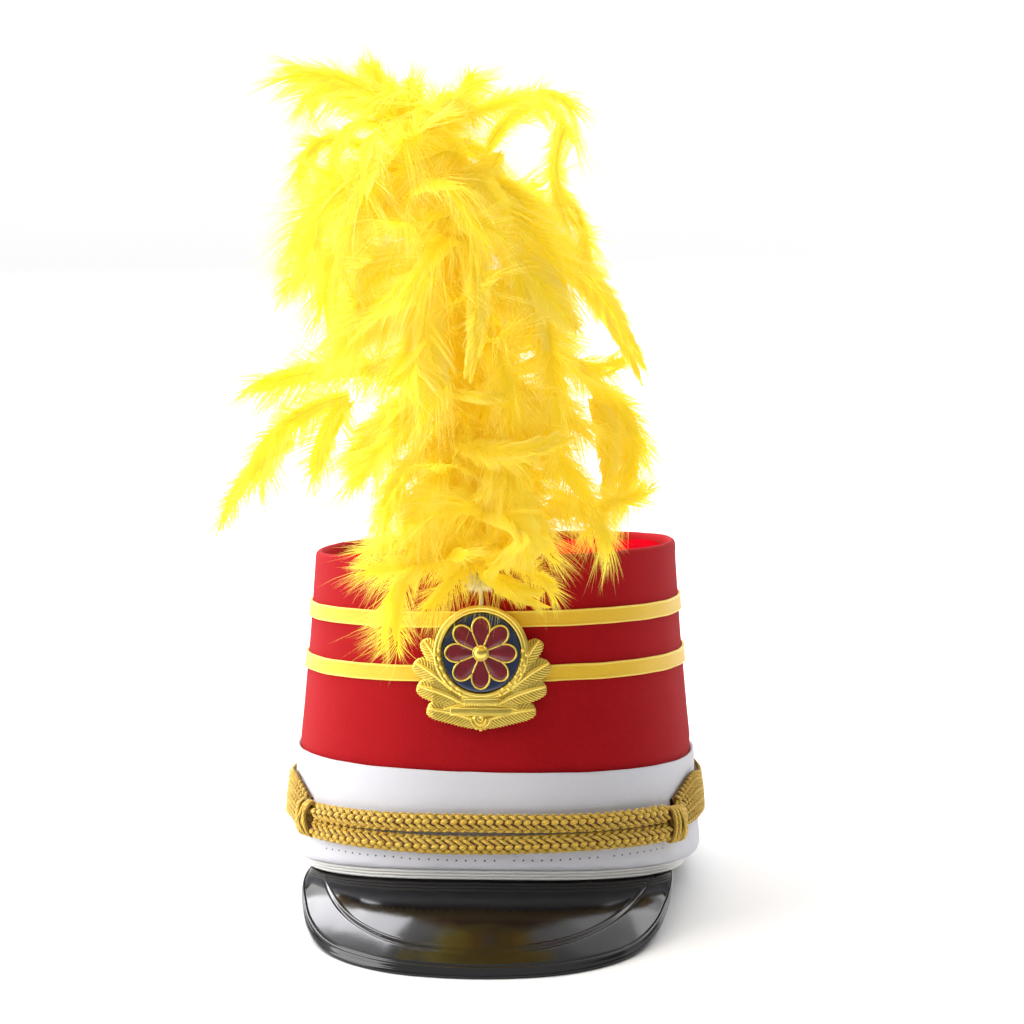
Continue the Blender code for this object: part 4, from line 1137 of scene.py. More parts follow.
# %% Rows of lobes on a strip
FLAT_ROWS = [
    # degrees_past_knot, middle_height, height
    (0.0, 24.5, 15.5),
    (5.0, 28.5, 18.5),
    (13.0, 31.5, 21.5),
    (33.0, 29.5, 18.0),
    (120.0, 30.0, 19.0),
]
LOBE_ROWS = 8
LOBE_LEAN = 1.05  # mm that a lobe's ends lie beside its middle
LOBE_SPACING = 2.9
LOBE_OVERLAP = 1.12  # how far it reaches over the rows beside it
LOBE_FOOT, LOBE_BULGE = 1.5, 0.95  # mm out from the band, at its ends and more at its middle
LOBE_RADIUS = 0.8
LOBE_SIDES = 6
LOBE_SHARES = np.array([-0.98, -0.72, -0.3, 0.3, 0.72, 0.98])
LOBE_FULLNESS = np.array([0.25, 0.72, 1.0, 1.0, 0.72, 0.25])
FLAT_PILLOW = 0.5
FLAT_BLUR = 3.0  # degrees
STRIP_STEPS = 260
STRIP_SECTION = np.array([
    # levels, and how far the strip stands out there
    (-0.9, -0.97, -0.8, 0.0, 0.8, 0.97, 0.9),
    (0.0, 0.8, 1.4, 1.4, 1.4, 0.8, 0.0),
])

flat_spare = math.degrees((KNOT_SIZE[0] - 1.2) / CORD_RADIUS)
flat_start, flat_end = KNOT_RIGHT[0] + flat_spare, 360 + KNOT_LEFT[0] - flat_spare
flat_length = math.radians(flat_end - flat_start) * CORD_RADIUS
lobe_count = int(flat_length / LOBE_SPACING)


def flat_place(degrees, level, outward):
    """A point of the flat plait; level goes from -1 at its lower edge to 1 at its upper edge."""
    past = np.minimum(degrees - flat_start, flat_end - degrees)
    middle = soft_table([row[:2] for row in FLAT_ROWS], past, FLAT_BLUR)
    half = soft_table([(row[0], row[2] / 2) for row in FLAT_ROWS], past, FLAT_BLUR)
    pillow = FLAT_PILLOW * (1 - level**2)
    edge_wave = 0.25 * np.sin(degrees * 0.35 + level)
    return on_band(degrees, middle + level * half + edge_wave, outward + pillow)


plait_rng = np.random.default_rng(77)
lobes = []
lobe_levels = LOBE_SHARES * (LOBE_OVERLAP / LOBE_ROWS)
lobe_out = GAP + LOBE_FOOT + LOBE_BULGE * (1 - LOBE_SHARES**2)
for row in range(LOBE_ROWS):
    slant = 1.0 if row % 2 == 0 else -1.0
    lean = slant * math.degrees(LOBE_LEAN / CORD_RADIUS)
    centre_level = -1 + (row + 0.5) * 2 / LOBE_ROWS
    for column in range(lobe_count):
        shift = 0.5 if row % 2 else 0.0
        jitter = plait_rng.uniform(-0.08, 0.08)
        centre = flat_start + (column + 0.5 + shift + jitter) / (lobe_count + 1) * (flat_end - flat_start)
        lobe_degrees = np.clip(centre + LOBE_SHARES * lean, flat_start, flat_end)
        path = flat_place(lobe_degrees, centre_level + lobe_levels, lobe_out)
        thickness = LOBE_RADIUS * LOBE_FULLNESS * plait_rng.uniform(0.93, 1.07)
        lobes.append(tube(path, thickness, LOBE_SIDES, buried_shade=LOBE_SHARES**4 * 0.7, end_shade=1.0))
add_piece("braid_back_lobes", "gold_cord", ["braid_back"], (join_parts(lobes), gold_cord))

strip_levels, strip_out = STRIP_SECTION
tucked = FLAT_PILLOW * (1 - strip_levels**2) * (strip_out == 0)
strip_degrees = np.linspace(flat_start, flat_end, STRIP_STEPS)[:, None]
strip_points = flat_place(strip_degrees, strip_levels, GAP + strip_out - tucked)
strip_quads = grid_quads(STRIP_STEPS, len(strip_levels), close_columns=True)
strip = flip((strip_points.reshape(-1, 3), strip_quads, {}))
# the strip is a dark sheet of painted shadow under the lobes
add_piece("braid_back_strip", "gold_cord", [], (strip, cord_shadow))

# %% [markdown]
# ## The cast badge
#
# The badge is a thin casting: palm fronds round a ring, with a field of dark blue enamel and an
# eight-petalled rosette of red enamel in gold outlines. Castings have low relief with crisp, fine
# lines. Each frond is a small grid of points whose height is a sum of a midrib, slanting veins and
# a domed body, and whose edge is toothed where the veins run out.
#
# The badge has axes of its own: u to the right, v up and w out of the crown. Its wings lean back to
# the cloth.

# %% Badge gold and enamel
gold = Paint("badge_gold", Metallic=1.0)
tarnish = gold.noise(160.0, 4.0, 0.6)
# painted shade: the casting's recesses, its vein cuts and the grooves beside the midribs, are painted darker
recess_shade = gold.attribute("recess_shade")
gold_tone = gold.mix(tarnish, (0.80, 0.57, 0.08), (1.0, 0.80, 0.20))
gold.feed("Base Color", gold.mix(recess_shade, gold_tone, (0.26, 0.14, 0.012)))
gold.feed("Roughness", tarnish * 0.16 + recess_shade * 0.15 + 0.24)
gold.bump(gold.noise(1300.0, 3.0), 0.0001, 0.5)


def enamel(name, deep, bright):
    glass = Paint(name, Coat_Weight=1.0, Coat_Roughness=0.04, IOR=1.55)
    clouds = glass.noise(140.0, 3.0, 0.55)
    glass.feed("Base Color", glass.mix(clouds, deep, bright))
    glass.feed("Roughness", clouds * 0.15 + 0.12)
    glass.bump(glass.noise(90.0, 1.0), 0.0006, 0.4)
    return glass


blue_enamel = enamel("blue_enamel", (0.004, 0.010, 0.045), (0.012, 0.035, 0.12))
red_enamel = enamel("red_enamel", (0.07, 0.0008, 0.004), (0.27, 0.003, 0.014))

# %% The badge's place
BADGE_HEIGHT = 102.0
BADGE_LEAN = math.radians(4.6)
BADGE_STANDOFF = 2.2
WING_SLOPE = 0.3
PLATE_THICK = 1.0
RING_OUTER = 20.8
RING_INNER = 17.4
RING_THICK = 3.2
FIELD_THICK = 0.9

badge_front = -(float(crown_half_width(BADGE_HEIGHT)) + DEPTH_EXTRA + BADGE_STANDOFF)
badge_matrix = np.array(
    Matrix.Translation((0, badge_front, BADGE_HEIGHT)) @ Matrix.Rotation(math.pi / 2 - BADGE_LEAN, 4, "X")
)


def badge_place(points):
    """From u, v, w to the hat's millimetres, with the wings leaned back."""
    points = np.array(points, dtype=float).reshape(-1, 3)
    points[:, 2] -= WING_SLOPE * np.maximum(0.0, np.abs(points[:, 0]) - RING_OUTER)
    return points @ badge_matrix[:3, :3].T + badge_matrix[:3, 3]


def add_badge_piece(name, slot, replaces, parts, paint):
    """A piece that is joined from parts in the badge's own axes."""
    points, faces, values = join_parts(parts)
    values.setdefault("recess_shade", np.zeros(len(points)))
    add_piece(name, slot, replaces, ((badge_place(points), faces, values), paint))


def lathe(profile, steps=96, centre=(0.0, 0.0), start=0.0):
    """Turn a profile of (radius, w) from an angle to the end of the full turn."""
    whole = start == 0.0
    turn = np.linspace(start, FULL_TURN, steps, endpoint=not whole)[:, None]
    radius, w = np.array(profile, dtype=float).T
    points = [centre[0] + radius * np.cos(turn), centre[1] + radius * np.sin(turn), w + 0 * turn]
    points = np.stack(points, axis=-1).reshape(-1, 3)
    return points, grid_quads(steps, len(profile), close_rows=whole), {"recess_shade": np.zeros(len(points))}


# %% Fronds
LEAVES = [
    # root_degrees, root_radius, tip_degrees, tip_radius, width; degrees from straight down
    (4.0, 22.5, 34.0, 30.0, 9.0),
    (1.0, 30.0, 44.5, 34.0, 10.6),
    (15.0, 23.6, 63.0, 31.6, 11.4),
    (38.0, 20.6, 82.0, 29.8, 10.8),
    (60.0, 19.0, 103.0, 26.0, 9.0),
]
LEAF_OUTLINE = [
    # share of the leaf's length, share of its width there
    (0, 0.6), (0.15, 0.85), (0.35, 1.0), (0.6, 1.0), (0.8, 0.9), (0.92, 0.7), (0.98, 0.42), (1.0, 0.0)
]
LEAF_BACK = 0.15
LEAF_EDGE = 0.95
LEAF_RIDGE = 2.5
LEAF_BEND = 0.05
RIB_HEIGHT, RIB_WIDTH = 0.42, 0.11
VEIN_PITCH = 1.45
VEIN_SLANT = 0.42
VEIN_DEPTH = 0.5
TOOTH_DEPTH = 0.13
LEAF_LONG, LEAF_WIDE = 110, 21


def polar(degrees_from_down, radius, side):
    angle = math.radians(degrees_from_down)
    return np.array((side * radius * math.sin(angle), -radius * math.cos(angle)))


def frond(root, tip, width):
    length = np.linalg.norm(tip - root)
    ahead = (tip - root) / length
    across = np.array([-ahead[1], ahead[0]])
    share = np.linspace(0.0, 1.0, LEAF_LONG)[:, None]
    wide = np.linspace(-1.0, 1.0, LEAF_WIDE)[None, :]
    off_rib = np.abs(wide)
    bend = LEAF_BEND * length * np.sin(math.pi * share) * np.sign(root[0] * tip[1] - root[1] * tip[0])
    vein_phase = (share * length - off_rib * width * VEIN_SLANT) / VEIN_PITCH * 2 * math.pi
    teeth = 1.0 - TOOTH_DEPTH * (0.5 - 0.5 * np.cos(vein_phase)) * (off_rib > 0.95)
    half = width / 2 * table(LEAF_OUTLINE, share) * teeth * wide
    dome = np.sqrt(share_of(1.02 - off_rib**2.4))
    ends = share_of(np.minimum(share / 0.12 + 0.6, (1 - share) / 0.08 + 0.35))
    midrib = RIB_HEIGHT * hill(wide, RIB_WIDTH) - 0.22 * hill(off_rib - 0.2, 0.07)
    vein = 0.5 + 0.5 * np.cos(vein_phase)
    vein_cut = VEIN_DEPTH * (1 - vein) ** 1.5 * share_of((off_rib - 0.12) / 0.2)
    rise = (LEAF_RIDGE - 0.45 - LEAF_EDGE) * dome + midrib - vein_cut
    height = LEAF_EDGE + rise * ends
    points = root + ahead * (share * length)[..., None] + across * (half + bend)[..., None]
    top = np.concatenate([points, height[..., None]], axis=-1)
    back = top[:, [-1, LEAF_WIDE // 2, 0]]
    back[..., 2] = LEAF_BACK
    section = np.concatenate([top, back], axis=1).reshape(-1, 3)
    # how much painted shade each point gets: in the veins' cuts and in the grooves beside the midrib
    recess_shade = vein_cut / VEIN_DEPTH * 0.95 + 0.5 * (midrib < -0.05) * ends
    recess_shade = np.concatenate([recess_shade, np.zeros((LEAF_LONG, 3))], axis=1)
    faces = grid_quads(LEAF_LONG, LEAF_WIDE + 3, close_columns=True)
    return flip((section, faces, {"recess_shade": share_of(recess_shade).ravel()}))


def box_part(width, height, middle_v, low, high, bevel):
    """A bar with bevelled upper edges."""
    rows = []
    for inset, w in ((0.0, low), (0.0, high - bevel), (bevel * 0.35, high - bevel * 0.3), (bevel, high)):
        half_u, half_v = width / 2 - inset, height / 2 - inset
        rows.append([(-half_u, -half_v, w), (half_u, -half_v, w), (half_u, half_v, w), (-half_u, half_v, w)])
    points = np.array(rows) + np.array([0, middle_v, 0])
    faces = grid_quads(4, 4, close_columns=True)
    lids = np.array([[12, 13, 14, 15], [3, 2, 1, 0]])
    return points.reshape(-1, 3), np.concatenate([faces, lids]), {"recess_shade": np.zeros(16)}


# %% The casting
RING_INNER_EDGE = [
    # out from the ring's inner edge, up from its top
    (0.0, -0.9), (0.15, -0.45), (0.5, -0.12), (1.0, 0.0), (1.35, -0.1), (1.6, -0.4), (1.85, -0.1)
]
RING_OUTER_EDGE = [(-1.0, 0.0), (-0.4, -0.2), (-0.1, -0.6), (0.0, -1.1)]
GRAINS = 12
GRAIN_FROM, GRAIN_PITCH = 26.0, 6.2  # degrees from straight down
GRAIN_ROWS = (2.5, 0.9)  # mm out from the ring's inner edge, in turn
GRAIN_PROFILE = [(0.72, 0.0), (0.66, 0.35), (0.42, 0.62), (0.01, 0.72)]
BEADS = [(-1.7, -32.6), (0.0, -33.2), (1.7, -32.6)]
BLOCK = (14.8, 3.6, -20.9, 0.05, 3.0)
BAR = (26.4, 3.6, -25.4, 0.1, 2.9)
BOXES = [
    # width, height, middle_v, low, high, bevel
    (*BLOCK, 0.35),
    (15.0, 6.0, -23.0, 0.1, 2.0, 0.35),
    (16.2, 1.1, -19.7, 0.6, 3.25, 0.25),
    (*BAR, 0.35),
    (BAR[0], 0.6, BAR[2] - BAR[1] / 2 + 0.3, 2.0, 3.12, 0.2),
    (BAR[0], 0.6, BAR[2] + BAR[1] / 2 - 0.3, 2.0, 3.12, 0.2),
]
DENTILS = 13
DENTIL_PITCH = 1.12
CUSP_RADIUS = 3.4
CUSP_V = -28.4
CUSP_ARCS = [(CUSP_RADIUS + 0.7, 2.35), (CUSP_RADIUS - 1.0, 2.45), (CUSP_RADIUS - 2.4, 2.4)]
ARC_PROFILE = [(-0.55, -1.0), (-0.5, 0.0), (-0.3, 0.42), (0.0, 0.55), (0.3, 0.42), (0.5, 0.0), (0.55, -1.0)]

badge_parts = []
for side in (-1, 1):
    for root_turn, root_radius, tip_turn, tip_radius, width in LEAVES:
        root, tip = polar(root_turn, root_radius, side), polar(tip_turn, tip_radius, side)
        badge_parts.append(frond(root, tip, width))

ring_profile = [(0.0, PLATE_THICK), (RING_INNER - 0.1, PLATE_THICK)]
ring_profile += [(RING_INNER + out, RING_THICK + up) for out, up in RING_INNER_EDGE]
ring_profile += [(RING_OUTER + out, RING_THICK + up) for out, up in RING_OUTER_EDGE]
badge_parts.append(lathe(ring_profile + [(RING_OUTER, 0.0), (0.0, 0.0)], 128))

grain = [(radius * 1.35, RING_THICK - 0.25 + height) for radius, height in GRAIN_PROFILE]
for side in (-1, 1):
    for i in range(GRAINS):
        place = polar(GRAIN_FROM + GRAIN_PITCH * i, RING_INNER + GRAIN_ROWS[i % 2], side)
        badge_parts.append(lathe(grain, 10, place))
bead = [(radius * 1.3, 0.9 + height * 1.6) for radius, height in GRAIN_PROFILE]
badge_parts += [lathe(bead, 12, place) for place in BEADS]
badge_parts += [box_part(*box) for box in BOXES]
for i in range(DENTILS):
    points, faces, values = box_part(0.62, 1.0, BLOCK[2] - BLOCK[1] / 2 + 0.35, 2.0, 3.22, 0.18)
    points[:, 0] += (i - (DENTILS - 1) / 2) * DENTIL_PITCH
    badge_parts.append((points, faces, values))
for radius, low in CUSP_ARCS:
    arc = [(radius + out, low + up) for out, up in ARC_PROFILE]
    badge_parts.append(lathe(arc, 40, (0.0, CUSP_V), math.pi))
cusp_disc = [(0.01, 0.2), (0.01, 2.3), (CUSP_RADIUS + 0.4, 2.3), (CUSP_RADIUS + 0.4, 0.2)]
badge_parts.append(lathe(cusp_disc, 48, (0.0, CUSP_V - 0.6)))
add_badge_piece("badge_casting", "gold_metal", ["badge_wreath"], badge_parts, gold)

# %% Enamel field, rosette and boss
field_low = PLATE_THICK + GAP
field_high = field_low + FIELD_THICK
field_profile = [(0.01, field_low), (RING_INNER - GAP, field_low), (RING_INNER - GAP, field_high - 0.15)]
field_profile += [(RING_INNER - 0.7, field_high), (RING_INNER - 3.0, field_high - 0.12)]
field_profile += [(8.0, field_high - 0.2), (0.01, field_high - 0.2)]
add_badge_piece("badge_field_enamel", "blue_enamel", ["badge_field"], [lathe(field_profile)], blue_enamel)

PETALS = 8
PETAL_STEPS, PETAL_RINGS = 24, 14
PETAL_ROUNDNESS = 0.6
ROSETTE_RADIUS = 15.9
ROSETTE_NOTCH = 9.6
ROSETTE_LOW = field_high + GAP
ROSETTE_HIGH = ROSETTE_LOW + 1.2
ENAMEL_FROM, ENAMEL_TO = 0.12, 0.955  # shares of the outline's radius

turn = np.arange(PETALS * PETAL_STEPS) / PETAL_STEPS
swell = np.sin(math.pi * (turn % 1.0))
outline = ROSETTE_NOTCH + (ROSETTE_RADIUS - ROSETTE_NOTCH) * swell**PETAL_ROUNDNESS
petal_angle = 2 * math.pi * turn / PETALS + math.pi / PETALS


def rosette_points(radius_share, w):
    radius = np.outer(radius_share, outline)
    return np.stack([radius * np.cos(petal_angle), radius * np.sin(petal_angle), w + 0 * radius], axis=-1)


radius_share = np.linspace(ENAMEL_FROM, ENAMEL_TO, PETAL_RINGS)
between = 0.16 * radius_share[:, None] * (1 - swell**0.8)[None, :]
dome = 0.42 * np.sin(math.pi * radius_share)[:, None] * swell[None, :] ** 0.7
enamel_top = rosette_points(radius_share, ROSETTE_HIGH - 0.55 + dome - between)
enamel_under = rosette_points(np.array([ENAMEL_TO, ENAMEL_FROM]), ROSETTE_LOW + 0.05)
rosette = np.concatenate([enamel_top, enamel_under])
rosette_quads = grid_quads(len(rosette), len(turn), close_rows=True, close_columns=True)
rosette_part = (rosette.reshape(-1, 3), rosette_quads, {})
add_badge_piece("badge_rosette_enamel", "red_enamel", ["badge_rosette"], [rosette_part], red_enamel)

WIRE = 0.42
outline_path = rosette_points(np.array([0.975]), ROSETTE_HIGH - 0.35)[0]
wires = [tube(outline_path, WIRE, 8, closed=True)]
for petal in range(PETALS):
    angle = 2 * math.pi * petal / PETALS + math.pi / PETALS
    spoke = np.linspace(3.0, ROSETTE_NOTCH - 0.2, 8)
    wire_w = np.full(len(spoke), ROSETTE_HIGH - 0.38)
    path = np.stack([spoke * math.cos(angle), spoke * math.sin(angle), wire_w], axis=-1)
    wires.append(tube(path, WIRE * 0.85, 8))
add_badge_piece("badge_rosette_outline", "gold_metal", [], wires, gold)

BOSS_RADIUS = 3.6
BOSS_PROFILE = [
    # radius, up from the rosette
    (0.01, 0.0), (BOSS_RADIUS, 0.0), (BOSS_RADIUS, 0.3), (3.35, 0.6), (2.95, 0.62), (2.8, 0.42),
    (2.6, 0.75), (2.1, 1.2), (1.4, 1.52), (0.7, 1.68), (0.01, 1.7)
]
boss = [(radius, ROSETTE_HIGH + GAP + up) for radius, up in BOSS_PROFILE]
add_badge_piece("badge_boss_dome", "gold_metal", ["badge_boss"], [lathe(boss, 64)], gold)

# %% [markdown]
# ## The plume's wire
#
# A thin wire rises behind the badge's top and carries the plume. Its sleeve of pale thread shows
# between the badge and the feathers.

# %% Wire and its thread
wire_thread = Paint("stem_wire", Roughness=0.45, Metallic=0.3)
winding = wire_thread.attribute("along")
coils = (winding * 9.0).wave()
wire_thread.feed("Base Color", wire_thread.mix(coils.raised(), (0.55, 0.46, 0.28), (0.85, 0.78, 0.6)))
wire_thread.bump(coils, 0.0002, 0.8)

STEM_RADIUS = 0.9
STEM_TOP = 131.4
STEM_OUT = 3.6
STEM_BOW = 2.2
STEM_POINTS, STEM_SIDES = 30, 12
PLUME_OUT = 102.0
stem_foot = badge_place([[0, RING_OUTER + GAP, STEM_OUT - BADGE_STANDOFF]])[0]
stem_head = np.array([0.0, -PLUME_OUT, STEM_TOP])
stem_share = np.linspace(0.0, 1.0, STEM_POINTS)[:, None]
stem_path = stem_foot + (stem_head - stem_foot) * stem_share
stem_path[:, 1:2] += STEM_BOW * np.sin(math.pi * stem_share) * (1 - stem_share)
stem = tube(stem_path, STEM_RADIUS, STEM_SIDES, wide=(0, 1.0, 0))
add_piece("plume_wire", "stem_wire", ["plume_stem"], (stem, wire_thread))

# %% [markdown]
# ## Feathers
#
# These are soft dyed feathers: a silky vane on both sides of a quill, which breaks up into single barbs
# towards its edges, and those are so fine that light comes through them. Hair particles could grow barbs,
# but they don't become a plain mesh. So a feather is made of two things that lie on the same curved surface:
# a smooth sheet for the closed inner part of the vane, and hundreds of thin tapering ribbons that start on
# the sheet and run out past its edge. NumPy makes all the ribbons of a feather at once. They stick together
# in small tufts, as real barbs do. The material also gives off a little yellow light of its own, a painted
# glow that lifts the shade inside the plume.

# %% Feather material
feather_paint = Paint(
    "yellow_feather",
    Sheen_Weight=0.06,
    Sheen_Roughness=0.4,
    Specular_IOR_Level=0.2,
    # painted glow: the feathers give off a little yellow light of their own, which lifts their shade
    Emission_Color=(1.0, 0.84, 0.03, 1.0),
    Emission_Strength=0.12,
)
fringe = feather_paint.attribute("fringe")
# painted light and shade: paler at the top left and away from the plume's core, deeper near it, besides the
# dye's random differences
light_and_dye = feather_paint.attribute("light_and_dye")
vane_place = feather_paint.attribute("vane", "Vector")
streak = feather_paint.noise(1.0, 3.0, 0.6, where=vane_place)
inner_tone = feather_paint.mix(light_and_dye, (1.0, 0.72, 0.0), (1.0, 0.93, 0.05))
outer_tone = feather_paint.mix(light_and_dye, (1.0, 0.9, 0.1), (1.0, 0.985, 0.66))
feather_tone = feather_paint.mix(fringe * 0.8 + streak * 0.5 - 0.2, inner_tone, outer_tone)
feather_paint.feed("Base Color", feather_tone)
feather_paint.feed("Roughness", streak * 0.2 + 0.5)
feather_paint.bump(streak, 0.0006, 0.8)
THROUGH_COLOR = (1.0, 0.91, 0.08, 1.0)
THROUGH_SHARE = 0.56
through = feather_paint.node("ShaderNodeBsdfTranslucent", inputs={"Color": THROUGH_COLOR}, output="BSDF")
surface = Wire(feather_paint, feather_paint.shader.outputs["BSDF"])
mixing = {0: THROUGH_SHARE, 1: surface, 2: through}
mixed = feather_paint.node("ShaderNodeMixShader", inputs=mixing, output="Shader")
feather_paint.tree.links.new(mixed.socket, feather_paint.output.inputs["Surface"])

fluff_paint = Paint("white_fluff", Roughness=0.7, Sheen_Weight=0.4, Sheen_Roughness=0.5)
fluff_tone = fluff_paint.mix(fluff_paint.noise(200.0, 2.0), (0.9, 0.85, 0.66), (1.0, 0.97, 0.86))
fluff_paint.feed("Base Color", fluff_tone)

# %% The surface of a feather
DOWN = np.array([0.0, math.sin(HAT_LEAN), -math.cos(HAT_LEAN)])
BARB_SPLITS = np.array([0.0, 0.38, 0.72, 1.0])  # where a ribbon has its points, of its length
BARB_WIDTHS = np.array([1.0, 0.72, 0.38, 0.0])
BARB_TRIANGLES = np.array([[0, 1, 3], [0, 3, 2], [2, 3, 5], [2, 5, 4], [4, 5, 6]])
BARB_FORWARD = 0.22  # how far a barb bends towards the feather's tip, of its length
BARB_STRAYS = 0.05  # share of the barbs that leave their tuft
SHEET_ROWS, SHEET_COLUMNS = 20, 5
FEATHER_SHAPES = {
    # at: share of the quill, width: of the vane there, angle: of its barbs to the quill in degrees,
    # sheet: how much of the width is closed, wild: how much its barbs differ, thick: mm at their root
    "soft": {
        "at": [0.0, 0.08, 0.3, 0.7, 0.88, 1.0],
        "width": [0.5, 0.85, 1.0, 1.0, 0.9, 0.8],
        "angle": [85, 72, 58, 46, 32, 8],
        "sheet": 0.28,
        "wild": 1.0,
        "thick": 0.33,
    },
    "vane": {
        "at": [0.0, 0.1, 0.3, 0.6, 0.85, 1.0],
        "width": [0.5, 0.85, 1.0, 0.85, 0.5, 0.12],
        "angle": [60, 48, 38, 30, 22, 12],
        "sheet": 0.72,
        "wild": 0.25,
        "thick": 0.45,
    },
}
TUFT_SPACING = 5.0  # mm along the quill
PALE_FROM, PALE_TO = 10.0, 38.0  # mm from the plume's core, between which the feathers are painted paler; the deeper yellow near the core is painted shade
QUILL_POINTS, QUILL_SIDES = 8, 4
feather_parts = []


def unit(vectors):
    return vectors / np.maximum(np.linalg.norm(vectors, axis=-1, keepdims=True), 1e-6)


def bend_curve(root, middle, tip, share):
    control = 2 * middle - (root + tip) / 2
    share = share[:, None]
    return root * (1 - share) ** 2 + 2 * control * share * (1 - share) + tip * share**2


